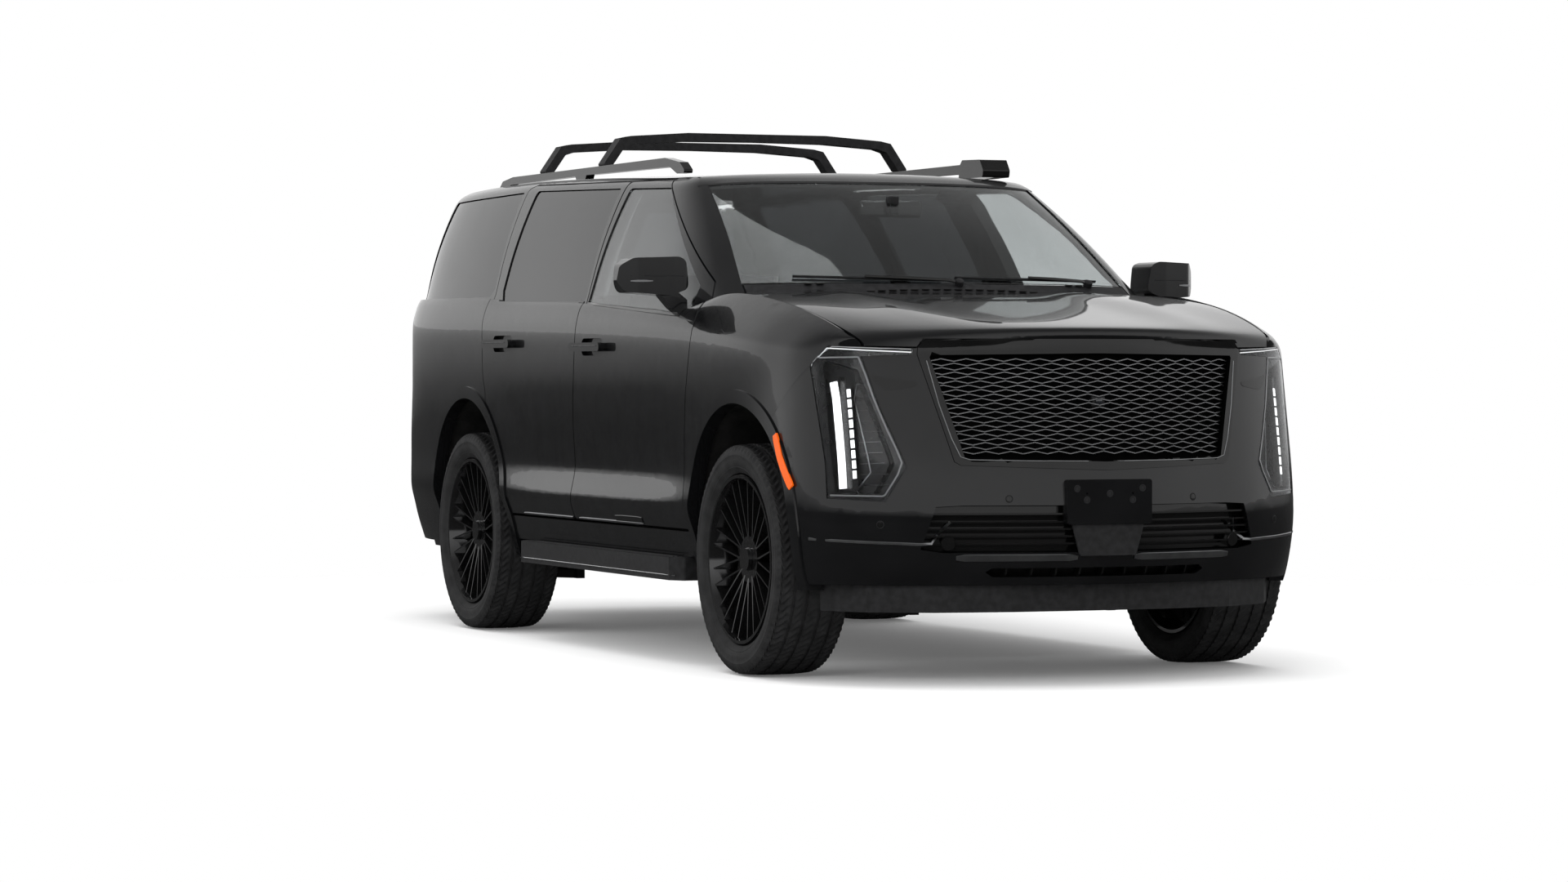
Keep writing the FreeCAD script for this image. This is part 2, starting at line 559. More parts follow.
def right_prism(points, radius=0.0):
    """A side outline run through the right half only."""
    return prism_y(points, radius, -HALF_WIDTH - OVERRUN, 0)


def tail_prism(shares, x_high, gap=0.0):
    zone = symmetric(face_points(shares))
    return prism_x(grown(zone, gap) if gap else zone, 0, -HALF_LENGTH - OVERRUN, x_high)


def door_zone(shares):
    return right_prism(side_points(shares), DOOR_CORNER)


def rear_arch_clear(gap):
    return arch_tool(REAR_AXLE_X, ARCH_RADIUS + ARCH_LIP + gap)


def rocker():
    skin = side_slab(0.0, ROCKER_WALL)
    x_low = REAR_AXLE_X + ARCH_RADIUS + ARCH_LIP
    x_high = FRONT_AXLE_X - ARCH_RADIUS - ARCH_LIP
    sheet = skin.common(right_side_strip(x_low, x_high, ROCKER_LOW_Z, SILL_TOP_Z))
    beam = block(x_low, x_high, -ROCKER_BEAM_Y, -ROCKER_INNER_Y, ROCKER_LOW_Z, SILL_TOP_Z)
    return main_solid(fused(sheet, beam))


ROCKER_BEAM_Y = 930.0
POST_INSET = 8.0
POST_DEPTH = 52.0
KNEE_X = (-100.0, 90.0)
KNEE_LOW_Z = 1394.0
KNEE_TOP_Z = 1450.0
KNEE_DEPTH = 150.0
LEG_Y = (808.0, 856.0)
LEG_LOW_Z = 1290.0
POST_SHARES = [(0.060, 0.250), (0.060, 0.640), (0.010, 0.966), (-0.090, 0.968), (-0.050, 0.640),
               (-0.085, 0.250)]
HINGE_POST_SHARES = [(0.405, 0.250), (0.405, 0.360), (0.422, 0.520), (0.445, 0.640), (0.452, 0.690),
                     (0.500, 0.690), (0.500, 0.250)]
HINGE_POST_DEPTH = 150.0
LINER_RADIUS = 478.0
LINER_WALL = 12.0


def centre_post():
    """The post behind the gap between the doors, from the rocker to the roof rail.

    Above the doors' thick lower part it steps outward to the window frames.
    """
    zone = right_prism(side_points(POST_SHARES))
    start = FRAME_WALL + POST_INSET
    above = block(-HALF_LENGTH, HALF_LENGTH, -HALF_WIDTH, 0, KNEE_LOW_Z, HEIGHT)
    upper = glass_side_slab(start, start + POST_DEPTH).common(zone).common(above)
    lower = side_slab(DOOR_WALL + POST_INSET, DOOR_WALL + POST_INSET + POST_DEPTH).common(zone)
    knee = right_side_strip(KNEE_X[0], KNEE_X[1], KNEE_LOW_Z, KNEE_TOP_Z)
    shelf = glass_side_slab(start, KNEE_DEPTH).common(knee)
    leg = block(KNEE_X[0], KNEE_X[1], -LEG_Y[1], -LEG_Y[0], LEG_LOW_Z, KNEE_TOP_Z)
    return [main_solid(upper), main_solid(lower), main_solid(shelf), leg]


def hinge_post():
    """The post ahead of the front door, behind the fender."""
    zone = right_prism(side_points(HINGE_POST_SHARES))
    post = side_slab(SIDE_WALL + SEAT_GAP, HINGE_POST_DEPTH).common(zone)
    clear = right_prism(grown(side_points(FRONT_DOOR_SHARES), SHUT_GAP))
    wheel = arch_tool(FRONT_AXLE_X, LINER_RADIUS + LINER_WALL + SEAT_GAP)
    return main_solid(post.cut([clear, wheel]))


def body_side():
    """One side of the body: pillars, roof rail, quarter panel, rocker and posts."""
    upper = glass_side_slab(0.0, PILLAR_WALL)
    lower = side_slab(0.0, SIDE_WALL)
    rear_zone = right_side_strip(-HALF_LENGTH, QUARTER_FRONT_X, BUMPER_TOP_Z, HEIGHT)
    below_bumper = right_side_strip(REAR_BUMPER_FRONT_X, REAR_AXLE_X, SILL_LOW_Z, BUMPER_TOP_Z + 1)
    quarter = lower.common(rear_zone.fuse(below_bumper))
    opening = right_prism(grown(side_points(SIDE_OPENING_SHARES), SHUT_GAP), DOOR_CORNER)
    quarter = quarter.cut([opening, rear_arch_clear(SEAT_GAP)])
    gate = tail_prism(GATE_SHARES, GATE_FRONT_X + SHUT_GAP, SHUT_GAP)
    lamps = prism_x(grown(face_points(TAIL_LAMP_SHARES), CORNER_GAP), 0, -HALF_LENGTH - OVERRUN, TAIL_ZONE_X)
    quarter = quarter.cut([gate, lamps])
    window = right_prism(side_points(QUARTER_WINDOW_SHARES), WINDOW_CORNER)
    fender = side_slab(0.0, SIDE_WALL).common(right_prism(side_points(FENDER_SHARES)))
    upper = upper.cut([opening, gate, window, lamps, inside_face(PILLAR_OPEN_SHARES), main_solid(fender)])
    pieces = [main_solid(upper), main_solid(quarter), rocker(), hinge_post()] + centre_post()
    return fused(*pieces)


def side_door(shares, window_shares, arch=None):
    """A whole door: its skin, the narrower casing behind it and the frame round its window."""
    zone = door_zone(shares)
    skin = side_slab(0.0, DOOR_SKIN).common(zone)
    casing = side_slab(DOOR_SKIN / 2, DOOR_WALL).common(right_prism(grown(side_points(shares), -DOOR_STEP)))
    frame = glass_side_slab(0.0, FRAME_WALL).common(zone)
    window = right_prism(side_points(window_shares), WINDOW_CORNER)
    door = fused(main_solid(skin), main_solid(casing), main_solid(frame)).cut(window)
    if arch is not None:
        door = door.cut(arch)
    return main_solid(door)


# Door handles: a pull bar on two feet over a shallow cup, x and z as shares at the bar's front and rear.
HANDLE_SHARES = {"f": (0.136, 0.020, 0.6120), "r": (-0.268, -0.384, 0.6215)}
HANDLE_HALF = 17.0
HANDLE_PROUD = 36.0
HANDLE_BAR = 16.0
HANDLE_FOOT = 34.0
CUP_DEPTH = 22.0
CUP_MARGIN = 34.0
CUP_CORNER = 30.0
HANDLE_CORNER = 15.0
DOOR_SKIN_SHARE = 0.989


def with_handle(door, row):
    """A door with its cup cut in and its handle standing over it."""
    front, rear, height = HANDLE_SHARES[row]
    x_front, x_rear, z = front * HALF_LENGTH, rear * HALF_LENGTH, height * HEIGHT
    skin_y = -DOOR_SKIN_SHARE * HALF_WIDTH
    oval = [(x_rear - HANDLE_HALF, z - HANDLE_HALF), (x_front + HANDLE_HALF, z - HANDLE_HALF),
            (x_front + HANDLE_HALF, z + HANDLE_HALF), (x_rear - HANDLE_HALF, z + HANDLE_HALF)]
    cup_x = (x_rear + CUP_MARGIN, x_front - CUP_MARGIN)
    cup_points = [(cup_x[0], z - CUP_MARGIN), (cup_x[1], z - CUP_MARGIN), (cup_x[1], z + CUP_MARGIN),
                  (cup_x[0], z + CUP_MARGIN)]
    cup = prism_y(cup_points, CUP_CORNER, skin_y - CUP_DEPTH, skin_y + CUP_DEPTH)
    bar = prism_y(oval, HANDLE_CORNER, skin_y - HANDLE_PROUD, skin_y - HANDLE_PROUD + HANDLE_BAR)
    feet = []
    for x in (x_rear, x_front):
        feet.append(block(x - HANDLE_HALF, x + HANDLE_HALF, skin_y - HANDLE_PROUD + HANDLE_BAR / 2,
                          skin_y + HANDLE_FOOT,
                          z - HANDLE_HALF / 2, z + HANDLE_HALF / 2))
    return main_solid(fused(main_solid(door.cut(cup)), bar, *feet))


def side_glass(window_shares):
    pane = glass_side_slab(GLASS_REBATE, GLASS_REBATE + GLASS_WALL)
    edge = grown(side_points(window_shares), -SEAT_GAP)
    return main_solid(pane.common(right_prism(edge, WINDOW_CORNER)))


def windshield():
    pane = wind_slab(GLASS_REBATE, GLASS_REBATE + GLASS_WALL)
    return main_solid(pane.common(inside_face(WINDSHIELD_SHARES)))


# The roof: columns across it as shares of its half width, and how far its first rows bow
# forward in the middle.
ROOF_COLUMN_SHARES = (0.9995, 0.94, 0.79, 0.57, 0.28, 0.0)
ROOF_BOW_SHARES = (0.024, 0.015, 0.008, 0.003)
ROOF_FRONT = 5
HEADER_ROWS = (-3, -2, -1)
ROOF_BACK = 22


def roof_row(edge, bow, depth):
    row = []
    for share in ROOF_COLUMN_SHARES:
        crown = ROOF_CROWN_SHARE * HEIGHT * (1 - share * share)
        row.append(V(edge.x + bow * HALF_LENGTH * (1 - share * share), edge.y * share,
                     edge.z + crown - depth))
    return row + [mirrored(p) for p in row[-2::-1]]


def roof_poles(depth):
    skin = glass_poles(0.0)
    front = whole(skin[:ROOF_FRONT + 1])
    rows = [[column[index] + V(0, 0, -depth) for column in front] for index in HEADER_ROWS]
    rows = [row[::-1] for row in rows]
    for index in range(ROOF_FRONT + 1, ROOF_BACK):
        step = index - ROOF_FRONT - 1
        bow = ROOF_BOW_SHARES[step] if step < len(ROOF_BOW_SHARES) else 0.0
        rows.append(roof_row(skin[index][-1], bow, depth))
    back = whole(skin[:ROOF_BACK - 1:-1])
    rows.append([column[-1] + V(0, 0, -depth) for column in back[::-1]])
    return rows


ROOF_TRIM_Y = 0.62 * HALF_WIDTH


def roof_panel():
    panel = slab(roof_poles(0.0), roof_poles(ROOF_WALL))
    opening = grown(side_points(SIDE_OPENING_SHARES), SHUT_GAP)
    doors = prism_y(opening, DOOR_CORNER, -HALF_WIDTH - OVERRUN, -ROOF_TRIM_Y)
    panel = main_solid(panel.cut([doors, mirror_y(doors)]))
    return main_solid(panel.cut(block(-HALF_LENGTH, GATE_TOP_X + SHUT_GAP, -HALF_WIDTH, HALF_WIDTH, 0,
                                      2 * HEIGHT)))


# A small sensor pod on the roof, left of the middle, behind the windshield.
POD_SIDE_SHARES = [(0.112, 0.960), (0.196, 0.960), (0.198, 0.9745), (0.186, 0.9965), (0.124, 0.9990),
                   (0.113, 0.985)]
POD_Y_SHARES = (0.505, 0.622)
POD_CORNER = 12.0


def roof_pod():
    y_low, y_high = [share * HALF_WIDTH for share in POD_Y_SHARES]
    box = prism_y(side_points(POD_SIDE_SHARES), POD_CORNER, y_low, y_high)
    below = slab(roof_poles(-SEAT_GAP), roof_poles(OVERRUN))
    edge = block(0, HALF_LENGTH, POD_EDGE_SHARE * HALF_WIDTH, HALF_WIDTH, 0, 2 * HEIGHT)
    return main_solid(box.cut([below, edge]))


POD_EDGE_SHARE = 0.620

# Rows of the hood from its lip back to the cowl: x and z on the middle line, x, y and z at
# the side, and which way the sheet's thickness lies.
HOOD_SHARES = [
    (0.9540, 0.598, 0.886, 0.765, 0.598, 1.0, 0.0),
    (0.9580, 0.6300, 0.880, 0.775, 0.6130, 1.0, 0.1),
    (0.9560, 0.6390, 0.871, 0.789, 0.6230, 0.8, 0.6),
    (0.9480, 0.6430, 0.859, 0.8005, 0.6310, 0.3, 1.0),
    (0.9200, 0.6490, 0.836, 0.8080, 0.6415, 0.0, 1.0),
    (0.8600, 0.6600, 0.790, 0.8200, 0.6590, 0.0, 1.0),
    (0.7750, 0.6750, 0.733, 0.8290, 0.6770, 0.0, 1.0),
    (0.6850, 0.6900, 0.670, 0.8380, 0.6920, 0.0, 1.0),
    (0.6050, 0.7030, 0.598, 0.8460, 0.7025, 0.0, 1.0),
    (0.5500, 0.7110, 0.531, 0.8570, 0.7085, 0.0, 1.0),
    (0.5200, 0.7150, 0.487, 0.8650, 0.7095, 0.0, 1.0),
]
# Columns of the hood: share of its half width, rise of the ridge, and how much of the
# front's sweep has been used.
HOOD_COLUMN_SHARES = [(1.0, -0.001, 1.0), (0.93, 0.002, 0.86), (0.82, 0.003, 0.66), (0.70, 0.004, 0.46),
                      (0.60, 0.0075, 0.32), (0.50, 0.0055, 0.21), (0.38, 0.0, 0.11), (0.20, 0.0, 0.03),
                      (0.0, 0.0, 0.0)]
HOOD_LIP_SHARES = [(0.0, 0.6215), (0.590, 0.6215), (0.612, 0.607), (0.772, 0.6085), (0.86, 0.62),
                   (0.86, 0.50), (0.0, 0.50)]
HOOD_RIDGE_ROWS = 4


def hood_poles(depth, spread=0.0):
    """Rows of the hood's surface, set in by a depth and spread at its sides and rear."""
    rows = []
    last = len(HOOD_SHARES) - 1
    for index, (x_mid, z_mid, x_side, y_side, z_side, ahead, above) in enumerate(HOOD_SHARES):
        ridge = min(1.0, max(0.0, (index - HOOD_RIDGE_ROWS + 1) / HOOD_RIDGE_ROWS))
        row = []
        for share, rise, sweep in HOOD_COLUMN_SHARES:
            x = mix(x_mid, x_side, sweep) * HALF_LENGTH - (spread if index == last else 0)
            z = (mix(z_mid, z_side, sweep) + rise * ridge) * HEIGHT
            y = -(y_side * HALF_WIDTH - SHUT_GAP + spread) * share
            row.append(V(x, y, z) - V(ahead, 0, above) * depth)
        rows.append(row + [mirrored(p) for p in row[-2::-1]])
    return rows


def hood_space(above=SHUT_GAP):
    """The hood grown by the gap that its neighbours keep, and by the way up that it takes."""
    grown_hood = slab(hood_poles(-above, SHUT_GAP), hood_poles(HOOD_WALL + SHUT_GAP, SHUT_GAP))
    outline = [(y, z - SHUT_GAP) for y, z in symmetric(face_points(HOOD_LIP_SHARES))]
    return main_solid(grown_hood.cut(prism_x(outline, 0, 0, HALF_LENGTH + OVERRUN)))


def hood():
    sheet = slab(hood_poles(0.0), hood_poles(HOOD_WALL))
    below = prism_x(symmetric(face_points(HOOD_LIP_SHARES)), 0, 0, HALF_LENGTH + OVERRUN)
    return main_solid(sheet.cut(below))


def rear_bumper():
    skin = tail_slab(0.0, FASCIA_WALL)
    zone = block(-HALF_LENGTH - OVERRUN, REAR_BUMPER_FRONT_X - CORNER_GAP, -HALF_WIDTH, HALF_WIDTH,
                 LOWER_EDGE_Z, BUMPER_TOP_Z - CORNER_GAP)
    arch = rear_arch_clear(SEAT_GAP)
    pipe = rod(V(-HALF_LENGTH, EXHAUST_Y, EXHAUST_Z), V(RAIL_REAR_X, EXHAUST_Y, EXHAUST_Z),
               TAILPIPE_RADIUS + TAILPIPE_GAP)
    return main_solid(skin.common(zone).cut([arch, mirror_y(arch), pipe]))


def liftgate():
    lower = tail_slab(0.0, GATE_WALL).common(tail_prism(GATE_SHARES, GATE_FRONT_X))
    upper = rear_glass_slab(0.0, GATE_FRAME_WALL).common(tail_prism(GATE_SHARES, GATE_FRONT_X))
    window = tail_prism(REAR_WINDOW_GLASS_SHARES, GATE_FRONT_X)
    roof_side = block(GATE_TOP_X, 0, -HALF_WIDTH, HALF_WIDTH, ROOF_SPLIT_Z, HEIGHT)
    return main_solid(fused(main_solid(lower), main_solid(upper)).cut([window, roof_side]))


def liftgate_glass():
    pane = rear_glass_slab(GLASS_REBATE, GLASS_REBATE + GLASS_WALL)
    zone = symmetric(grown_half(face_points(REAR_WINDOW_GLASS_SHARES), -SEAT_GAP))
    return main_solid(pane.common(prism_x(zone, 0, -HALF_LENGTH - OVERRUN, GATE_FRONT_X)))


def grown_half(points, gap):
    """A right-half outline moved outward, its ends kept on the middle line."""
    moved = grown(points, gap)
    return [(0.0 if abs(p[0]) == 0 else q[0], q[1]) for p, q in zip(points, moved)]


def tail_lamps():
    skin = tail_slab(0.0, FASCIA_WALL)
    lamp = skin.common(prism_x(face_points(TAIL_LAMP_SHARES), 0, -HALF_LENGTH - OVERRUN, TAIL_ZONE_X))
    return pair(main_solid(lamp))


# Grille: the frame, the screen behind it, and rows of shallow chevrons in front of the screen.
GRILLE_FRAME_SHARES = [(0.0, 0.4015), (0.486, 0.410), (0.574, 0.588), (0.570, 0.592), (0.0, 0.5955)]
GRILLE_PROUD = 4.0
GRILLE_DEPTH = 66.0
SCREEN_START = 30.0
SCREEN_END = 42.0
CHEVRON_PITCH = 84.0
CHEVRON_RISE = 9.0
CHEVRON_BAR = 3.4
CHEVRON_DEPTH = 16.0
CHEVRON_STEPS = 4
ROW_PITCH = 15.3
ROW_MARGIN = 7.0


def front_x(skin, y, z):
    """Where a line along X meets a skin of the nose."""
    line = Part.Line(V(0, y, z), V(HALF_LENGTH, y, z))
    return max(point.X for point in line.intersect(skin)[0])


def half_opening(shares, z):
    """Half width of a right-half outline at one height."""
    points = [(y * HALF_WIDTH, share * HEIGHT) for y, share in shares]
    widths = []
    for (y, low), (y_next, high) in zip(points, points[1:]):
        if low != high and min(low, high) <= z <= max(low, high):
            widths.append(mix(y, y_next, (z - low) / (high - low)))
    return max(widths)


def chevron_row(back, z, shift, half):
    """One zigzag bar across the screen, lofted through its cross-sections."""
    step = CHEVRON_PITCH / CHEVRON_STEPS
    count = int(half / step)
    places = [-half] + [index * step for index in range(-count, count + 1)] + [half]
    sections = []
    for y in sorted(set(places)):
        swing = abs((y / CHEVRON_PITCH + shift) % 1 - 1 / 2) * 2
        middle = z + CHEVRON_RISE * (swing - 1 / 2)
        top, bottom = middle + CHEVRON_BAR / 2, middle - CHEVRON_BAR / 2
        x_back = front_x(back, y, middle)
        x_front = x_back + CHEVRON_DEPTH
        corners = [V(x_back, y, top), V(x_front, y, top), V(x_front, y, bottom), V(x_back, y, bottom)]
        sections.append(Part.makePolygon(corners + corners[:1]))
    return Part.makeLoft(sections, True, True)


def lattice():
    back = surface(whole(body_poles(SCREEN_START - SEAT_GAP)[:NOSE_COLUMNS])).Surface
    low = GRILLE_FRAME_SHARES[1][1] * HEIGHT + CHEVRON_RISE + ROW_MARGIN
    high = GRILLE_FRAME_SHARES[2][1] * HEIGHT - CHEVRON_RISE / 2
    rows = []
    for index in range(int((high - low) / ROW_PITCH) + 1):
        z = low + index * ROW_PITCH
        half = half_opening(GRILLE_FRAME_SHARES, z - CHEVRON_RISE / 2) - ROW_MARGIN
        rows.append(chevron_row(back, z, (index % 2) / 2, half))
    return rows


def grille():
    ring = nose_slab(-GRILLE_PROUD, GRILLE_DEPTH)
    area = prism_x(symmetric(grown_half(face_points(GRILLE_SHARES), -SPLIT_GAP)), 0, FRONT_AXLE_X,
                   HALF_LENGTH + OVERRUN)
    window = prism_x(symmetric(face_points(GRILLE_FRAME_SHARES)), 0, FRONT_AXLE_X, HALF_LENGTH + OVERRUN)
    frame = main_solid(main_solid(ring.common(area).cut(window)).cut(hood_space()))
    screen = main_solid(main_solid(nose_slab(SCREEN_START, SCREEN_END).common(area)).cut(hood_space()))
    return Part.makeCompound([main_solid(fused(frame, screen))] + lattice())


# Lower intake and slot: slats and dividers in front of a closed back.
SLAT_SHARES = (0.2560, 0.2690, 0.2820, 0.2950, 0.3090)
SLAT_HALF = 3.0
SLAT_FRONT = 10.0
SLAT_BACK = 44.0
INTAKE_BACK = 54.0
DIVIDER_SHARES = (0.0, 0.085, 0.170, 0.255, 0.340)
DIVIDER_HALF = 3.0


def intake():
    """The dark insert behind both lower openings, with slats above and dividers below."""
    zone = block(FRONT_AXLE_X, HALF_LENGTH, -INTAKE_HALF, INTAKE_HALF, INTAKE_LOW_SHARE * HEIGHT,
                 INTAKE_HIGH_SHARE * HEIGHT)
    pieces = [main_solid(nose_slab(SLAT_BACK, INTAKE_BACK).common(zone))]
    bars = nose_slab(SLAT_FRONT, SLAT_BACK + SPLIT_GAP)
    for share in SLAT_SHARES:
        z = share * HEIGHT
        half = half_opening(INTAKE_SHARES, z) - SLAT_HALF
        pieces.append(main_solid(bars.common(block(FRONT_AXLE_X, HALF_LENGTH, -half, half, z - SLAT_HALF,
                                                   z + SLAT_HALF))))
    low, high = SLOT_SHARES[0][1] * HEIGHT, SLOT_SHARES[-1][1] * HEIGHT
    for share in DIVIDER_SHARES:
        for y in {share * HALF_WIDTH, -share * HALF_WIDTH}:
            fin = block(FRONT_AXLE_X, HALF_LENGTH, y - DIVIDER_HALF, y + DIVIDER_HALF, low + SPLIT_GAP,
                        high - SPLIT_GAP)
            pieces.append(main_solid(bars.common(fin)))
    bracket = [(y, z) for y, z in grown(symmetric(face_points(PLATE_SHARES)), SEAT_GAP)]
    seat_for_plate = prism_x(bracket, 0, PLATE_BACK_X - SEAT_GAP, HALF_LENGTH)
    return main_solid(fused(*pieces).cut(seat_for_plate))


INTAKE_HALF = 0.70 * HALF_WIDTH
INTAKE_LOW_SHARE = 0.185
INTAKE_HIGH_SHARE = 0.336


def lamp_area(gap):
    return prism_x(grown(face_points(LAMP_SHARES), gap), 0, FRONT_AXLE_X, HALF_LENGTH + OVERRUN)


# Headlamps: a housing with a deep well, a light blade in it, and the lens over it.
LAMP_DEPTH = 70.0
LAMP_FACE = 6.0
LAMP_WELL = 46.0
LENS_WALL = 4.0
LENS_START = 1.0
WELL_SHARES = [(0.752, 0.345), (0.700, 0.398), (0.752, 0.500), (0.787, 0.566), (0.878, 0.585), (0.874, 0.400),
               (0.868, 0.345)]
BLADE_SHARES = [(0.806, 0.350), (0.806, 0.548), (0.822, 0.552), (0.822, 0.350)]


def lamp_cut():
    """What the fender and the wheelhouse take from the lamp's space."""
    behind = right_prism(grown(side_points(FENDER_SHARES), SPLIT_GAP))
    return [behind, arch_tool(FRONT_AXLE_X, LINER_RADIUS + LINER_WALL + SEAT_GAP)]


def headlamps():
    housing = nose_slab(LENS_START + LENS_WALL + SEAT_GAP, LAMP_DEPTH).common(lamp_area(-SPLIT_GAP))
    well = nose_slab(-LENS_START, LAMP_WELL).common(
        prism_x(face_points(WELL_SHARES), LAMP_FACE, FRONT_AXLE_X, HALF_LENGTH + OVERRUN))
    blade = nose_slab(LAMP_FACE + LENS_WALL, LAMP_WELL + SEAT_GAP).common(
        prism_x(face_points(BLADE_SHARES), 0, FRONT_AXLE_X, HALF_LENGTH + OVERRUN))
    shell = main_solid(housing.cut(lamp_cut()))
    return pair(main_solid(fused(main_solid(shell.cut(main_solid(well))), main_solid(blade))))


def lamp_lenses():
    lens = nose_slab(LENS_START, LENS_START + LENS_WALL).common(lamp_area(-SPLIT_GAP))
    return pair(main_solid(lens.cut(lamp_cut())))


# Floor, firewall and wheel liners.
FLOOR_FRONT_X = 0.4385 * HALF_LENGTH
FLOOR_REAR_X = -0.93 * HALF_LENGTH
FLOOR_STEP_X = -0.295 * HALF_LENGTH
LOAD_FLOOR_Z = 0.330 * HEIGHT
LOAD_HALF = 0.80 * HALF_WIDTH
FIREWALL_TOP_Z = 0.66 * HEIGHT
FIREWALL_WALL = 14.0
COWL_REAR_X = 0.4600 * HALF_LENGTH
LINER_OUTER_Y = 0.958 * HALF_WIDTH
LINER_OPEN_Z = 0.390 * HEIGHT
FRONT_LINER_INNER_Y = 0.490 * HALF_WIDTH
REAR_LINER_INNER_Y = 0.655 * HALF_WIDTH
BODY_HALF = ROCKER_INNER_Y - SEAT_GAP


def wheel_liner(axle_x, inner_y):
    """A half-round wheelhouse over one wheel, closed on its inner side."""
    outer = arch_tool(axle_x, LINER_RADIUS + LINER_WALL)
    inner = arch_tool(axle_x, LINER_RADIUS)
    span = block(-HALF_LENGTH, HALF_LENGTH, -LINER_OUTER_Y, -inner_y, SILL_LOW_Z, HEIGHT)
    bore = block(-HALF_LENGTH, HALF_LENGTH, -LINER_OUTER_Y - 1, -inner_y - LINER_WALL, 0, HEIGHT)
    shell = outer.common(span).cut(inner.common(bore))
    doorway = block(-HALF_LENGTH, HALF_LENGTH, -inner_y - LINER_WALL - 1, -inner_y + 1, 0, LINER_OPEN_Z)
    return main_solid(shell.cut(doorway))


def wheel_liners(side, sheet, lips):
    front = wheel_liner(FRONT_AXLE_X, FRONT_LINER_INNER_Y)
    rear = wheel_liner(REAR_AXLE_X, REAR_LINER_INNER_Y)
    return pair(Part.makeCompound([main_solid(front.cut([side, sheet, lips])),
                                   main_solid(rear.cut([side, lips]))]))


def floor_pan(side):
    """Cabin floor, the raised load floor behind it and the firewall."""
    floor = block(FLOOR_STEP_X, FLOOR_FRONT_X, -BODY_HALF, BODY_HALF, FLOOR_Z, FLOOR_Z + FLOOR_THICKNESS)
    riser = block(FLOOR_STEP_X - FLOOR_THICKNESS, FLOOR_STEP_X, -BODY_HALF, BODY_HALF, FLOOR_Z,
                  LOAD_FLOOR_Z + FLOOR_THICKNESS)
    load = block(FLOOR_REAR_X, FLOOR_STEP_X, -LOAD_HALF, LOAD_HALF, LOAD_FLOOR_Z,
                 LOAD_FLOOR_Z + FLOOR_THICKNESS)
    wall = block(FLOOR_FRONT_X - FIREWALL_WALL, FLOOR_FRONT_X, -BODY_HALF, BODY_HALF, FLOOR_Z, FIREWALL_TOP_Z)
    pan = fused(floor, riser, load, wall)
    keep = block(-HALF_LENGTH, HALF_LENGTH, -REAR_LINER_INNER_Y + SEAT_GAP, REAR_LINER_INNER_Y - SEAT_GAP, 0,
                 HEIGHT)
    wells = arch_tool(REAR_AXLE_X, LINER_RADIUS + LINER_WALL + SEAT_GAP)
    cutters = [wells.cut(keep), mirror_y(wells.cut(keep))]
    return main_solid(pan.cut(cutters + [side, mirror_y(side)]))


# Chassis frame: two rails with cross-members.
RAIL_HEIGHT = 120.0
RAIL_WIDTH = 80.0
RAIL_TOP_Z = FLOOR_Z - SEAT_GAP
FRONT_RAIL_Y = 0.330 * HALF_WIDTH
MID_RAIL_Y = 0.500 * HALF_WIDTH
RAIL_FRONT_X = 0.90 * HALF_LENGTH
RAIL_BEND_SHARES = (0.40, 0.47)
CROSS_TOP_Z = RAIL_TOP_Z - 40.0
RAIL_REAR_X = -0.90 * HALF_LENGTH
CROSS_SHARES = (0.880, 0.560, 0.020, -0.330, -0.640, -0.880)
SHAFT_CLEAR = 12.0
CROSS_LENGTH = 90.0


def chassis_frame():
    half = RAIL_WIDTH / 2
    path = [(RAIL_REAR_X, MID_RAIL_Y), (0, MID_RAIL_Y), (RAIL_BEND_SHARES[0] * HALF_LENGTH, MID_RAIL_Y),
            (RAIL_BEND_SHARES[1] * HALF_LENGTH, FRONT_RAIL_Y), (RAIL_FRONT_X, FRONT_RAIL_Y)]
    band = [(x, -y - half) for x, y in path] + [(x, -y + half) for x, y in reversed(path)]
    rail = prism_z(band, 0, RAIL_TOP_Z - RAIL_HEIGHT, RAIL_TOP_Z)
    pieces = [rail, mirror_y(rail)]
    for share in CROSS_SHARES:
        x = share * HALF_LENGTH
        rail_y = MID_RAIL_Y if share < RAIL_BEND_SHARES[0] else FRONT_RAIL_Y
        pieces.append(block(x - CROSS_LENGTH / 2, x + CROSS_LENGTH / 2, -rail_y, rail_y,
                            RAIL_TOP_Z - RAIL_HEIGHT, CROSS_TOP_Z))
    frame = fused(*pieces)
    clear = [rod(V(x, -HALF_WIDTH, TYRE_RADIUS), V(x, HALF_WIDTH, TYRE_RADIUS),
                 HALF_SHAFT_RADIUS + SHAFT_CLEAR)
             for x in (FRONT_AXLE_X, REAR_AXLE_X)]
    clear.append(rod(V(REAR_AXLE_X, 0, TYRE_RADIUS), V(GEARBOX_REAR_X, 0, SHAFT_Z),
                     SHAFT_RADIUS + SHAFT_CLEAR))
    return main_solid(frame.cut(clear))


# Powertrain masses.
ENGINE_HALF_WIDTH = 0.27 * HALF_WIDTH
ENGINE_REAR_X = 0.50 * HALF_LENGTH
ENGINE_FRONT_X = 0.76 * HALF_LENGTH
ENGINE_TOP_Z = 0.575 * HEIGHT
ENGINE_LOW_Z = CROSS_TOP_Z + SEAT_GAP


def engine():
    """The engine's plain block."""
    half = ENGINE_HALF_WIDTH
    return block(ENGINE_REAR_X, ENGINE_FRONT_X, -half, half, ENGINE_LOW_Z, ENGINE_TOP_Z)



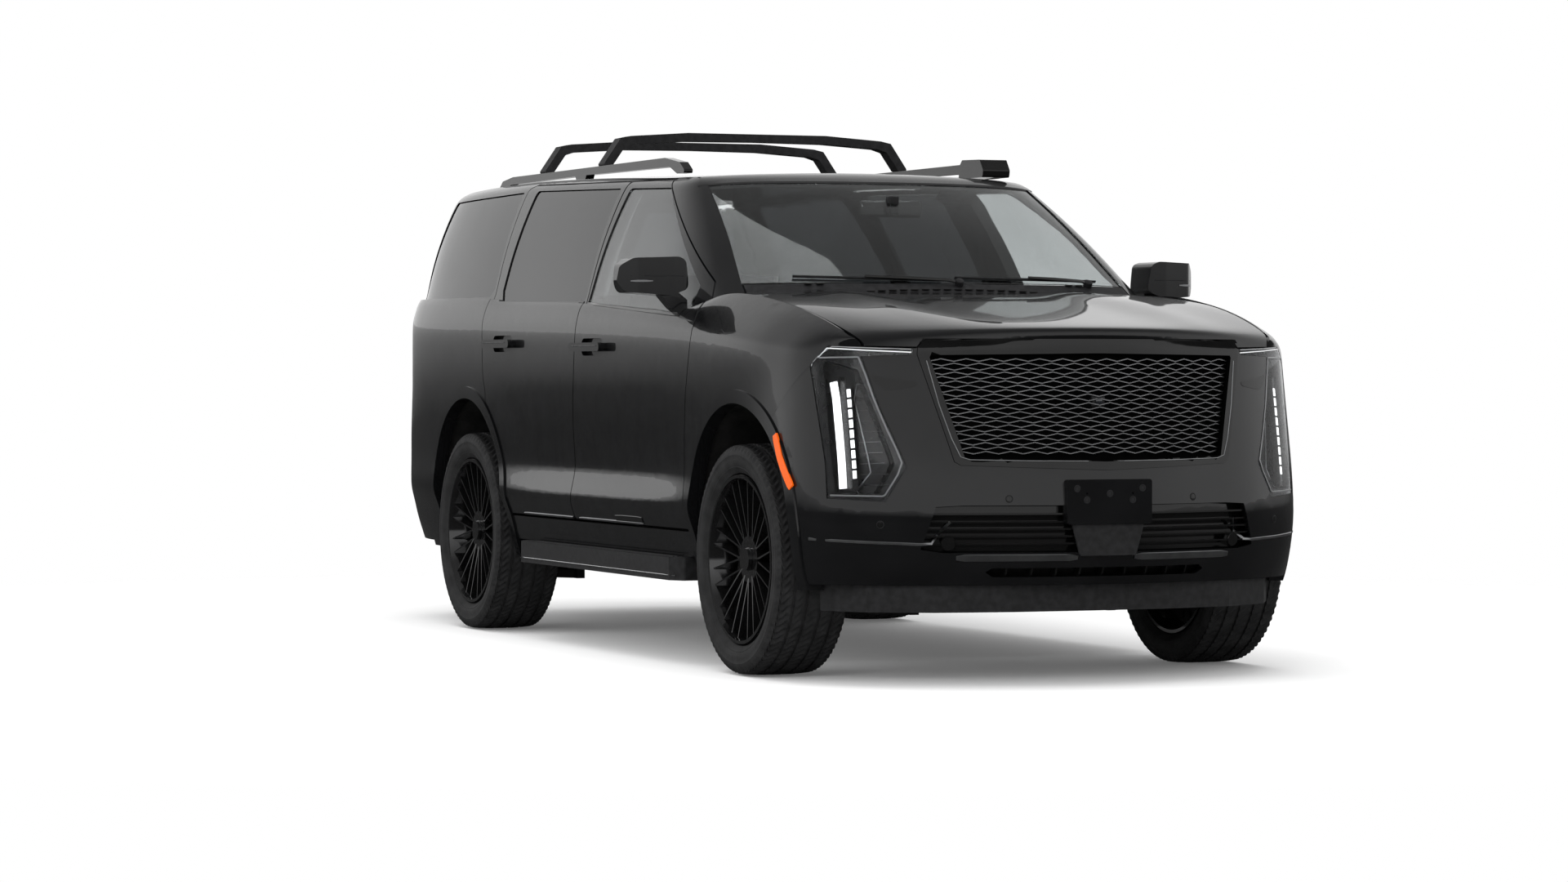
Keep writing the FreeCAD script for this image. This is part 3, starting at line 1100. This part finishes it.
# Driveline, exhaust and tank, under the floor.
SHAFT_RADIUS = 42.0
SHAFT_Z = 455.0
GEARBOX_HALF = 150.0
GEARBOX_FRONT_X = ENGINE_REAR_X - SEAT_GAP
GEARBOX_REAR_X = 0.23 * HALF_LENGTH
AXLE_CASE_RADIUS = 120.0
HALF_SHAFT_RADIUS = 20.0
GEARBOX_LOW_Z = 0.175 * HEIGHT
HALF_SHAFT_END_Y = 0.710 * HALF_WIDTH
EXHAUST_Y = 0.30 * HALF_WIDTH
EXHAUST_Z = 352.0
EXHAUST_RADIUS = 32.0
MUFFLER_RADIUS = 95.0
TAILPIPE_RADIUS = 46.0
TAILPIPE_WALL = 5.0
TAILPIPE_GAP = 12.0
TAILPIPE_END_X = -0.962 * HALF_LENGTH
TANK_CORNER = 60.0
TANK_SHARES = (-0.305, -0.045)
TANK_HALF = (0.10 * HALF_WIDTH, 0.43 * HALF_WIDTH)
TANK_LOW_Z = 0.185 * HEIGHT
HANGER_HALF = 12.0
HANGER_SHARES = (CROSS_SHARES[2], CROSS_SHARES[-2], CROSS_SHARES[-1])
MUFFLER_X = (-630.0, -120.0)


def driveline():
    """Gearbox, propeller shafts and the two final drives."""
    gearbox = block(GEARBOX_REAR_X, GEARBOX_FRONT_X, -GEARBOX_HALF, GEARBOX_HALF, GEARBOX_LOW_Z, RAIL_TOP_Z)
    shaft = rod(V(REAR_AXLE_X, 0, TYRE_RADIUS), V(GEARBOX_REAR_X + 1, 0, SHAFT_Z), SHAFT_RADIUS)
    pieces = [gearbox, shaft]
    for axle_x in (FRONT_AXLE_X, REAR_AXLE_X):
        case = Part.makeSphere(AXLE_CASE_RADIUS, V(axle_x, 0, TYRE_RADIUS - SHAFT_RADIUS))
        half_shafts = rod(V(axle_x, -HALF_SHAFT_END_Y, TYRE_RADIUS), V(axle_x, HALF_SHAFT_END_Y, TYRE_RADIUS),
                          HALF_SHAFT_RADIUS)
        pieces += [case, half_shafts]
    pieces.append(rod(V(GEARBOX_FRONT_X - GEARBOX_HALF, 0, SHAFT_Z - AXLE_CASE_RADIUS),
                      V(FRONT_AXLE_X, 0, TYRE_RADIUS - SHAFT_RADIUS), SHAFT_RADIUS / 2))
    return fused(*pieces)


def exhaust():
    pipe = rod(V(GEARBOX_REAR_X, EXHAUST_Y, EXHAUST_Z), V(RAIL_REAR_X, EXHAUST_Y, EXHAUST_Z), EXHAUST_RADIUS)
    muffler = rod(V(MUFFLER_X[0], EXHAUST_Y, EXHAUST_Z), V(MUFFLER_X[1], EXHAUST_Y, EXHAUST_Z),
                  MUFFLER_RADIUS)
    pieces = [pipe, muffler]
    for share in HANGER_SHARES:
        x = share * HALF_LENGTH
        pieces.append(block(x - HANGER_HALF, x + HANGER_HALF, EXHAUST_Y - HANGER_HALF,
                            EXHAUST_Y + HANGER_HALF,
                            EXHAUST_Z, RAIL_TOP_Z - RAIL_HEIGHT - SEAT_GAP))
    end = V(TAILPIPE_END_X, EXHAUST_Y, EXHAUST_Z)
    tip = rod(V(RAIL_REAR_X + MUFFLER_RADIUS, EXHAUST_Y, EXHAUST_Z), end, TAILPIPE_RADIUS)
    bore = rod(V(RAIL_REAR_X, EXHAUST_Y, EXHAUST_Z), end, TAILPIPE_RADIUS - TAILPIPE_WALL)
    return main_solid(fused(*pieces, tip).cut(bore))


def fuel_tank():
    x_low, x_high = [share * HALF_LENGTH for share in TANK_SHARES]
    plan = [(x_low, -TANK_HALF[1]), (x_high, -TANK_HALF[1]), (x_high, -TANK_HALF[0]), (x_low, -TANK_HALF[0])]
    return prism_z(plan, TANK_CORNER, TANK_LOW_Z, RAIL_TOP_Z)

# Wheels. Distances across the wheel run outward from its middle plane.
TYRE_BEAD = 12.0
TREAD_HALF = 0.445 * TYRE_WIDTH
SHOULDER_HALF = 0.485 * TYRE_WIDTH
BEAD_PROUD = 3.0
SHOULDER_DROP = 16.0
SIDEWALL_RADIUS_SHARE = 0.86
RIM_HALF = 0.43 * TYRE_WIDTH
RIM_WALL = 12.0
RIM_FLANGE = 12.0
RIM_DROP = 22.0
DROP_HALF = 40.0
HUB_RADIUS = 84.0
HUB_FACE = 92.0
HUB_BACK = 26.0
SPOKE_PAIRS = 12
SPOKE_WIDTH = 15.0
SPOKE_ROOT_WIDTH = 19.0
SPOKE_TIP_WIDTH = 13.0
SPOKE_ROOT_BACK = 41.0
SPOKE_TAPER_SHARE = 0.4
SPOKE_SPREAD_DEGREES = 9.0
SPOKE_BACK = 66.0
SPOKE_RIM_FACE = 116.0
DISC_RADIUS = 196.0
DISC_HALF = 15.0
STUB_RADIUS = 30.0
STUB_CLEARANCE = 0.05
STUB_LENGTH = 62.0
CAP_RADIUS = 40.0


def ring_y(profile):
    """A ring about the Y axis from radius and width points."""
    points = [V(radius, across, 0) for radius, across in profile]
    face = Part.Face(Part.makePolygon(points + points[:1]))
    return face.revolve(V(0, 0, 0), V(0, 1, 0), FULL_TURN)


def tyre():
    """One tyre about the Y axis, its outer side towards -Y."""
    side = SIDEWALL_RADIUS_SHARE * TYRE_RADIUS
    inner = RIM_RADIUS + SEAT_GAP
    half = [(TYRE_RADIUS, TREAD_HALF), (TYRE_RADIUS - SHOULDER_DROP, SHOULDER_HALF),
            (side, TYRE_WIDTH / 2), (inner, RIM_HALF + BEAD_PROUD), (inner, RIM_HALF - 2 * TYRE_BEAD)]
    return ring_y(half + [(radius, -across) for radius, across in reversed(half)])


def spoke(angle, side_angle):
    """One blade from the hub to the rim, thinner and further forward at the rim."""
    start = V(math.cos(angle), 0, math.sin(angle)) * (HUB_RADIUS - SPOKE_WIDTH)
    end = V(math.cos(angle + side_angle), 0, math.sin(angle + side_angle)) * (RIM_RADIUS - RIM_WALL / 2)
    run = (end - start).normalize()
    across = V(-run.z, 0, run.x)
    sections = []
    for place, width, back, front in ((start, SPOKE_ROOT_WIDTH, SPOKE_ROOT_BACK, HUB_FACE),
                                      (end, SPOKE_TIP_WIDTH, SPOKE_BACK, SPOKE_RIM_FACE)):
        rear_half = across * (width / 2)
        front_half = rear_half * SPOKE_TAPER_SHARE
        corners = [place + rear_half + V(0, -back, 0), place + front_half + V(0, -front, 0),
                   place - front_half + V(0, -front, 0), place - rear_half + V(0, -back, 0)]
        sections.append(Part.makePolygon(corners + corners[:1]))
    return Part.makeLoft(sections, True, True)


def rim():
    """Barrel, hub, paired blades, brake disc and stub of one wheel about the Y axis."""
    low = RIM_RADIUS - RIM_WALL
    drop = low - RIM_DROP
    barrel = ring_y([(RIM_RADIUS, -RIM_HALF), (RIM_RADIUS, RIM_HALF), (low, RIM_HALF), (drop, DROP_HALF),
                     (drop, -DROP_HALF), (low, -RIM_HALF)])
    lip = ring_y([(RIM_RADIUS - SEAT_GAP, -RIM_HALF - RIM_FLANGE / 2), (RIM_RADIUS, -RIM_HALF + RIM_FLANGE),
                  (low - RIM_WALL / 2, -RIM_HALF + RIM_FLANGE), (low, -RIM_HALF - RIM_FLANGE / 2)])
    hub = rod(V(0, DISC_HALF, 0), V(0, -HUB_FACE, 0), HUB_RADIUS)
    disc = rod(V(0, DISC_HALF, 0), V(0, -DISC_HALF, 0), DISC_RADIUS)
    stub = rod(V(0, DISC_HALF + STUB_LENGTH, 0), V(0, 0, 0), STUB_RADIUS)
    cap = rod(V(0, -HUB_FACE, 0), V(0, -HUB_FACE - SPOKE_WIDTH, 0), CAP_RADIUS)
    spread = math.radians(SPOKE_SPREAD_DEGREES)
    blades = []
    for index in range(SPOKE_PAIRS):
        angle = 2 * math.pi * index / SPOKE_PAIRS
        blades += [spoke(angle, spread), spoke(angle, -spread)]
    return main_solid(fused(barrel, lip, hub, disc, stub, cap, *blades))


def placed(shape, axle_x, left):
    """A right-hand wheel piece set at its axle, mirrored for the left."""
    moved = shape.translated(V(axle_x, -HALF_TRACK, TYRE_RADIUS))
    return mirror_y(moved) if left else moved


# Knuckles, in the same wheel frame as the rim.
KNUCKLE_BACK = DISC_HALF + STUB_LENGTH + SHUT_GAP
KNUCKLE_FACE = DISC_HALF + SHUT_GAP
KNUCKLE_RADIUS = 72.0
KNUCKLE_HALF_HEIGHT = 168.0
KNUCKLE_HALF_WIDTH = 26.0
BALL_RADIUS = 13.0
BALL_CLEARANCE = 0.05
ARM_WALL = 34.0
ARM_HALF_WIDTH = 34.0
CALIPER_OUTER = 226.0
CALIPER_INNER = 120.0
CALIPER_SPAN_DEGREES = 54.0
CALIPER_HALF = 44.0
CALIPER_GAP = 5.0
EAR_REACH = 144.0


def knuckle(front):
    """The carrier of one wheel with its brake caliper, in the wheel's frame."""
    carrier = rod(V(0, KNUCKLE_FACE, 0), V(0, KNUCKLE_BACK, 0), KNUCKLE_RADIUS)
    upright = block(-KNUCKLE_HALF_WIDTH, KNUCKLE_HALF_WIDTH, KNUCKLE_FACE + SHUT_GAP, KNUCKLE_BACK,
                    -KNUCKLE_HALF_HEIGHT, KNUCKLE_HALF_HEIGHT)
    pin_end = KNUCKLE_HALF_HEIGHT + ARM_WALL
    pins = rod(V(0, KINGPIN_INSET, -pin_end), V(0, KINGPIN_INSET, pin_end), BALL_RADIUS)
    side = 1 if front else -1
    sector = ring_y([(CALIPER_OUTER, -CALIPER_HALF), (CALIPER_OUTER, CALIPER_HALF),
                     (CALIPER_INNER, CALIPER_HALF),
                     (CALIPER_INNER, -CALIPER_HALF)])
    slot_half = DISC_HALF + CALIPER_GAP
    slot_top = DISC_RADIUS + CALIPER_GAP
    slot = ring_y([(slot_top, -slot_half), (slot_top, slot_half), (STUB_RADIUS, slot_half),
                   (STUB_RADIUS, -slot_half)])
    half = math.radians(CALIPER_SPAN_DEGREES / 2)
    reach = 2 * CALIPER_OUTER
    far_x, far_z = -side * reach * math.cos(half), reach * math.sin(half)
    wedge = prism_y([(0, 0), (far_x, far_z), (far_x, -far_z)], 0, -CALIPER_OUTER, CALIPER_OUTER)
    caliper = main_solid(sector.common(wedge).cut(slot))
    ear_ends = sorted((0, -side * EAR_REACH))
    ear = block(ear_ends[0], ear_ends[1], KNUCKLE_FACE + CALIPER_GAP, CALIPER_HALF,
                -KNUCKLE_HALF_WIDTH, KNUCKLE_HALF_WIDTH)
    body = fused(carrier, upright, pins, caliper, ear)
    bore = rod(V(0, 0, 0), V(0, KNUCKLE_BACK + 1, 0), STUB_RADIUS + STUB_CLEARANCE)
    return main_solid(body.cut(bore))


# An arm's plan: half spread at the frame, the inner edge of each leg there, and how far in
# from the pin the legs start and meet, as shares of the pin's distance from the middle.
ARM_SPREAD = 207.0
LEG_INNER = 114.0
LEG_START_SHARE = 0.87
FORK_SHARE = 0.74
ARM_CORNER = 7.0


def arm(axle_x, z_low, mount_y):
    """A forked arm from the knuckle's pin to the frame."""
    y = -KINGPIN_Y
    half = ARM_HALF_WIDTH
    right = [(half, y - half), (half, LEG_START_SHARE * y), (ARM_SPREAD, mount_y), (LEG_INNER, mount_y)]
    left = [(-x, place) for x, place in reversed(right)]
    plan = [(axle_x + x, place) for x, place in right + [(0, FORK_SHARE * y)] + left]
    plate = prism_z(plan, ARM_CORNER, z_low, z_low + ARM_WALL)
    bore = rod(V(axle_x, y, 0), V(axle_x, y, HEIGHT), BALL_RADIUS + BALL_CLEARANCE)
    return plate.cut(bore)


DAMPER_RADIUS = 30.0
DAMPER_Y = 0.585 * HALF_WIDTH
DAMPER_AHEAD = 64.0
TOWER_PLATE = 20.0
FRONT_TOWER_Z = 0.375 * HEIGHT
REAR_TOWER_Z = 0.322 * HEIGHT
ARM_GAP = 0.5


def suspension(axle_x, rail_y, tower_z):
    """Arms and a damper tower on both sides of one axle."""
    mount_y = -rail_y - RAIL_WIDTH / 2 - SEAT_GAP
    low_z = TYRE_RADIUS - KNUCKLE_HALF_HEIGHT - ARM_WALL - ARM_GAP
    high_z = TYRE_RADIUS + KNUCKLE_HALF_HEIGHT + ARM_GAP
    lower = arm(axle_x, low_z, mount_y)
    upper = arm(axle_x, high_z, mount_y)
    damper_x = axle_x + DAMPER_AHEAD
    leg = rod(V(damper_x, -DAMPER_Y, low_z + ARM_WALL / 2), V(damper_x, -DAMPER_Y, tower_z), DAMPER_RADIUS)
    bracket_y = mount_y - ARM_WALL
    bracket = block(axle_x - ARM_SPREAD, axle_x + ARM_SPREAD, bracket_y, mount_y, low_z, high_z + ARM_WALL)
    near_x, far_x = damper_x - DAMPER_RADIUS, damper_x + DAMPER_RADIUS
    riser = block(near_x, far_x, bracket_y, mount_y, low_z, tower_z)
    plate = block(near_x, far_x, -DAMPER_Y - DAMPER_RADIUS, mount_y, tower_z - TOWER_PLATE, tower_z)
    shaft_start = V(axle_x, -HALF_WIDTH, TYRE_RADIUS)
    clear = rod(shaft_start, V(axle_x, 0, TYRE_RADIUS), HALF_SHAFT_RADIUS + SHAFT_CLEAR)
    return main_solid(fused(lower, upper, leg, bracket, riser, plate).cut(clear))


def rear_suspension():
    """The rear arms and dampers, one piece with the carriers they hold."""
    arms = suspension(REAR_AXLE_X, MID_RAIL_Y, REAR_TOWER_Z)
    bushes = []
    for side in (-1, 1):
        start = TYRE_RADIUS + side * (KNUCKLE_HALF_HEIGHT - ARM_WALL)
        end = TYRE_RADIUS + side * (KNUCKLE_HALF_HEIGHT + ARM_WALL)
        bushes.append(rod(V(REAR_AXLE_X, -KINGPIN_Y, start), V(REAR_AXLE_X, -KINGPIN_Y, end),
                          BALL_RADIUS + ARM_GAP))
    return main_solid(fused(arms, placed(knuckle(False), REAR_AXLE_X, False), *bushes))


# Running boards, roof rails and cross bars.
BOARD_SHARES = [(-0.262, 0.875), (-0.262, 0.955), (-0.235, 0.992), (0.395, 0.992), (0.418, 0.955),
                (0.418, 0.875)]
BOARD_LOW_Z = 0.162 * HEIGHT
BOARD_TOP_Z = 0.2065 * HEIGHT
BOARD_CORNER = 14.0
RAIL_SHARES = [(-0.722, 0.962), (-0.690, 0.990), (-0.640, 0.9970), (0.050, 0.9970), (0.110, 0.985),
               (0.137, 0.962),
               (0.100, 0.962), (0.070, 0.9775), (-0.290, 0.9815), (-0.300, 0.962), (-0.330, 0.962),
               (-0.340, 0.9815),
               (-0.650, 0.980), (-0.680, 0.962)]
RAIL_Y_SHARES = (0.628, 0.664)
BAR_SHARES = [(0.0, 1.0700), (0.300, 1.0700), (0.545, 1.0610), (0.590, 1.0560), (0.660, 1.0020),
              (0.660, 0.9970),
              (0.625, 0.9970), (0.572, 1.0370), (0.530, 1.0440), (0.300, 1.0520), (0.0, 1.0535)]
BAR_X_SHARES = (-0.226, -0.497)
BAR_HALF = 36.0


def running_boards():
    """A step along the sill, on brackets from the chassis rail."""
    plan = [(x * HALF_LENGTH, -y * HALF_WIDTH) for x, y in BOARD_SHARES]
    board = prism_z(plan, BOARD_CORNER, BOARD_LOW_Z, BOARD_TOP_Z)
    root_y = -MID_RAIL_Y - RAIL_WIDTH / 2 - SEAT_GAP
    low = BOARD_LOW_Z + BOARD_CORNER
    pieces = [board]
    for share in BOARD_BRACKET_SHARES:
        x_low, x_high = share * HALF_LENGTH - BRACKET_HALF, share * HALF_LENGTH + BRACKET_HALF
        pieces.append(block(x_low, x_high, -BRACKET_OUTER_Y, root_y, low, BOARD_TOP_Z - BOARD_CORNER))
        pieces.append(block(x_low, x_high, root_y - BRACKET_HALF, root_y, low, RAIL_TOP_Z - RAIL_WIDTH / 2))
    return main_solid(fused(*pieces))


def roof_rails():
    """Raised rail over the side of the roof, on three feet."""
    y_low, y_high = [share * HALF_WIDTH for share in RAIL_Y_SHARES]
    rail = prism_y(side_points(RAIL_SHARES), RAIL_CORNER, -y_high, -y_low)
    return main_solid(rail.cut(slab(roof_poles(-SEAT_GAP), roof_poles(OVERRUN))))


def cross_bars():
    """Two arched bars between the rails, each with wider feet."""
    bars = []
    for share in BAR_X_SHARES:
        x = share * HALF_LENGTH
        points = [(y, z + SEAT_GAP) for y, z in symmetric(face_points(BAR_SHARES))]
        bars.append(prism_x(points, BAR_CORNER, x - BAR_HALF, x + BAR_HALF))
    return Part.makeCompound(bars)


# Mirrors: a shell on a short arm, outside the front door's window.
MIRROR_SHARES = [(0.930, 0.7225), (0.945, 0.7765), (0.975, 0.7825), (1.130, 0.7800), (1.165, 0.765),
                 (1.172, 0.735),
                 (1.150, 0.7140), (1.000, 0.7080)]
MIRROR_X_SHARES = (0.352, 0.418)
MIRROR_PLAN_SHARES = [(0.352, 0.925), (0.352, 1.172), (0.372, 1.172), (0.405, 1.115), (0.418, 1.00),
                      (0.414, 0.925)]
MIRROR_CORNER = 30.0
MIRROR_ARM_SHARES = [(0.925, 0.672), (0.925, 0.700), (0.985, 0.725), (1.040, 0.716), (0.985, 0.684),
                     (0.955, 0.672)]
MIRROR_ARM_X_SHARES = (0.378, 0.400)
BACK_SET = 14.0


def mirror():
    """The right-hand mirror: arm and shell, hollowed behind its glass."""
    zone = [(-y * HALF_WIDTH, z * HEIGHT) for y, z in MIRROR_SHARES]
    x_low, x_high = [share * HALF_LENGTH for share in MIRROR_X_SHARES]
    shell = prism_x(zone, MIRROR_CORNER, x_low, x_high)
    plan = [(x * HALF_LENGTH, -y * HALF_WIDTH) for x, y in MIRROR_PLAN_SHARES]
    shell = shell.common(prism_z(plan, MIRROR_CORNER, 0, HEIGHT))
    recess = prism_x(grown(zone, -BACK_SET), MIRROR_CORNER / 2, x_low - 1, x_low + BACK_SET)
    arm_zone = [(-y * HALF_WIDTH, z * HEIGHT) for y, z in MIRROR_ARM_SHARES]
    stalk = prism_x(arm_zone, BACK_SET / 2, MIRROR_ARM_X_SHARES[0] * HALF_LENGTH,
                    MIRROR_ARM_X_SHARES[1] * HALF_LENGTH)
    return main_solid(fused(main_solid(shell.cut(recess)), stalk))


# Air dam and the flaps ahead of the front tyres.
DAM_SHARES = [(0.795, 0.895), (0.880, 0.760), (0.925, 0.560), (0.945, 0.300), (0.950, 0.0)]
DAM_LOW_Z = 0.132 * HEIGHT
FLAP_TOP_Z = 0.185 * HEIGHT
FLAP_BACK_X = 0.90 * HALF_LENGTH
DAM_WALL = 26.0
FLAP_Y_SHARES = (0.543, 0.798)
FLAP_X = 0.8145 * HALF_LENGTH
FLAP_WALL = 8.0
FLAP_LOW_Z = 0.1045 * HEIGHT


def air_dam():
    """The lower chin, with a flap ahead of each front tyre."""
    front = [(x * HALF_LENGTH, -y * HALF_WIDTH) for x, y in DAM_SHARES]
    front += [(x, -y) for x, y in front[-2::-1]]
    back = [(x - DAM_WALL, y) for x, y in front]
    chin = prism_z(front + back[::-1], 0, DAM_LOW_Z, LOWER_EDGE_Z - SEAT_GAP)
    wheel = arch_tool(FRONT_AXLE_X, LINER_RADIUS + LINER_WALL + SEAT_GAP)
    pieces = [main_solid(chin.cut([wheel, mirror_y(wheel)]))]
    y_low, y_high = [share * HALF_WIDTH for share in FLAP_Y_SHARES]
    for side in (-1, 1):
        low, high = sorted((side * y_low, side * y_high))
        pieces.append(block(FLAP_X, FLAP_X + FLAP_WALL, low, high, FLAP_LOW_Z, FLAP_TOP_Z))
        pieces.append(block(FLAP_X, FLAP_BACK_X, low, high, FLAP_TOP_Z - FLAP_WALL, FLAP_TOP_Z))
    return main_solid(fused(*pieces))


# Cabin.
SEAT_HALF = 0.245 * HALF_WIDTH
SEAT_Y = 0.395 * HALF_WIDTH
SEAT_SIDE_SHARES = [(0.0, 0.000), (0.0, 0.110), (0.036, 0.136), (0.205, 0.127), (0.215, 0.110),
                    (0.190, 0.000)]
BACK_SHARES = [(0.0, 0.129), (-0.045, 0.361), (-0.058, 0.365), (-0.075, 0.430), (-0.040, 0.440),
               (-0.020, 0.370),
               (0.010, 0.353), (0.058, 0.133), (0.036, 0.110), (0.0, 0.110)]
SEAT_ROUND = 26.0
BACK_ROUND = 13.0
SEAT_ROWS = (0.120, -0.235)
BENCH_X_SHARE = -0.560
BENCH_HALF = 0.56 * HALF_WIDTH


def seat(x, floor_z, y_low, y_high):
    """A seat's plain solid: cushion on its base, back and head rest."""
    solids = []
    for shares, radius in ((SEAT_SIDE_SHARES, SEAT_ROUND), (BACK_SHARES, BACK_ROUND)):
        points = [(x + share * HALF_LENGTH, floor_z + SEAT_GAP + height * HEIGHT) for share, height in shares]
        solids.append(prism_y(points, radius, y_low, y_high))
    return fused(*solids)


def seat_row(share):
    right = seat(share * HALF_LENGTH, FLOOR_Z + FLOOR_THICKNESS, -SEAT_Y - SEAT_HALF, -SEAT_Y + SEAT_HALF)
    return pair(right)


def rear_bench():
    return seat(BENCH_X_SHARE * HALF_LENGTH, LOAD_FLOOR_Z + FLOOR_THICKNESS, -BENCH_HALF, BENCH_HALF)


DASH_SHARES = [(0.4325, 0.560), (0.4325, 0.694), (0.400, 0.700), (0.345, 0.690), (0.325, 0.660),
               (0.330, 0.590),
               (0.360, 0.540)]
DASH_HALF = 0.817 * HALF_WIDTH
CONSOLE_SHARES = [(0.4325, 0.2905), (0.4325, 0.58), (0.350, 0.57), (0.300, 0.455), (0.120, 0.440),
                  (0.105, 0.420),
                  (0.105, 0.2905)]
CONSOLE_HALF = 0.135 * HALF_WIDTH


def dashboard():
    """Instrument panel across the cabin with the console between the front seats."""
    panel = prism_y(side_points(DASH_SHARES), SEAT_ROUND, -DASH_HALF, DASH_HALF)
    console = prism_y(side_points(CONSOLE_SHARES), SEAT_ROUND, -CONSOLE_HALF, CONSOLE_HALF)
    column = rod(COLUMN_BASE, COLUMN_END, COLUMN_RADIUS)
    return main_solid(fused(panel, console, column))


COLUMN_RADIUS = 36.0
COLUMN_SLOPE_DEGREES = 24.0
COLUMN_SLOPE = math.radians(COLUMN_SLOPE_DEGREES)
COLUMN_AXIS = V(-math.cos(COLUMN_SLOPE), 0, math.sin(COLUMN_SLOPE))
COLUMN_LENGTH = 242.0
WHEEL_CENTRE = V(0.285 * HALF_LENGTH, SEAT_Y, 0.635 * HEIGHT)
COLUMN_BASE = WHEEL_CENTRE - COLUMN_AXIS * COLUMN_LENGTH
HUB_HALF = 24.0
COLUMN_END = WHEEL_CENTRE - COLUMN_AXIS * (HUB_HALF + STUB_CLEARANCE)
GRIP_RADIUS = 15.0
STEER_RADIUS = 182.0
STEER_HUB_RADIUS = 78.0
STEER_SPOKE_WIDTH = 40.0


def steering_wheel():
    """Rim, hub and three spokes about the column's axis."""
    grip = Part.makeTorus(STEER_RADIUS, GRIP_RADIUS)
    hub = rod(V(0, 0, -HUB_HALF), V(0, 0, HUB_HALF), STEER_HUB_RADIUS)
    half, thick = STEER_SPOKE_WIDTH / 2, GRIP_RADIUS / 2
    bar = block(-STEER_RADIUS, STEER_RADIUS, -half, half, -thick, thick)
    lower = block(-half, half, -STEER_RADIUS, 0, -thick, thick)
    wheel = fused(grip, hub, bar, lower)
    turn = FreeCAD.Rotation(V(0, -1, 0), V(0, 0, 1), COLUMN_AXIS, "ZYX")
    wheel.Placement = FreeCAD.Placement(WHEEL_CENTRE, turn)
    return main_solid(wheel)


COWL_SHARES = [(0.0, 0.711), (0.770, 0.711), (0.764, 0.7285), (0.640, 0.730), (0.420, 0.731),
               (0.0, 0.7315)]
COWL_WALL = 16.0


def cowl():
    """The strip between the hood and the windshield."""
    strip = wind_slab(0.0, COWL_WALL).common(inside_face(COWL_SHARES))
    return main_solid(main_solid(strip).cut(hood_space()))


BOARD_BRACKET_SHARES = (-0.20, 0.06, 0.34)
BRACKET_HALF = 22.0
BRACKET_OUTER_Y = 0.90 * HALF_WIDTH
RAIL_CORNER = 9.0
BAR_CORNER = 8.0


def export(name, shape):
    shape.exportStep(os.path.join("parts", name + ".step"))


def build():
    lips = arch_lips()
    side = main_solid(body_side().cut(lips))
    sheets = fenders()
    roof = main_solid(roof_panel().cut([side, mirror_y(side)]))
    frame = chassis_frame()
    export("body_side", pair(side))
    export("arch_lips", lips)
    export("fenders", sheets)
    export("front_bumper", front_bumper())
    export("rear_bumper", rear_bumper())
    export("hood", hood())
    export("roof_panel", roof)
    export("windshield", main_solid(windshield().cut([roof, side, mirror_y(side)])))
    export("quarter_glass", pair(side_glass(QUARTER_WINDOW_SHARES)))
    export("grille", grille())
    export("headlamps", headlamps())
    export("lamp_lenses", lamp_lenses())
    export("intake", intake())
    export("roof_pod", roof_pod())
    export("tail_lamps", tail_lamps())
    export("wheel_liners", wheel_liners(side, sheets, lips))
    export("floor_pan", floor_pan(side))
    export("chassis_frame", frame)
    export("engine", engine())
    export("driveline", driveline())
    export("exhaust", exhaust())
    export("fuel_tank", fuel_tank())
    export("front_suspension", pair(suspension(FRONT_AXLE_X, FRONT_RAIL_Y, FRONT_TOWER_Z)))
    export("rear_suspension", pair(rear_suspension()))
    export("running_boards", pair(running_boards()))
    export("roof_rails", pair(roof_rails()))
    export("cross_bars", cross_bars())
    export("air_dam", air_dam())
    export("cowl", cowl())
    export("dashboard", dashboard())
    export("steering_wheel", steering_wheel())
    export("front_seats", seat_row(SEAT_ROWS[0]))
    export("middle_seats", seat_row(SEAT_ROWS[1]))
    export("rear_bench", rear_bench())
    export("liftgate", liftgate())
    export("liftgate_glass", liftgate_glass())
    doors = {"f": (side_door(FRONT_DOOR_SHARES, FRONT_WINDOW_SHARES), side_glass(FRONT_WINDOW_SHARES)),
             "r": (side_door(REAR_DOOR_SHARES, REAR_WINDOW_SHARES, rear_arch_clear(SHUT_GAP)),
                   side_glass(REAR_WINDOW_SHARES))}
    for row, (door, glass) in doors.items():
        panel = with_handle(door, row)
        export("door_" + row + "r", panel)
        export("door_" + row + "l", mirror_y(panel))
        export("glass_" + row + "r", glass)
        export("glass_" + row + "l", mirror_y(glass))
    shell = mirror().cut(doors["f"][0])
    export("mirror_fr", main_solid(shell))
    export("mirror_fl", mirror_y(main_solid(shell)))
    wheel, cover = rim(), tyre()
    carrier = knuckle(True)
    for letter, left in (("r", False), ("l", True)):
        export("knuckle_f" + letter, placed(carrier, FRONT_AXLE_X, left))
        for row, axle_x in (("f", FRONT_AXLE_X), ("r", REAR_AXLE_X)):
            export("wheel_" + row + letter, placed(wheel, axle_x, left))
            export("tyre_" + row + letter, placed(cover, axle_x, left))


os.makedirs("parts", exist_ok=True)
build()
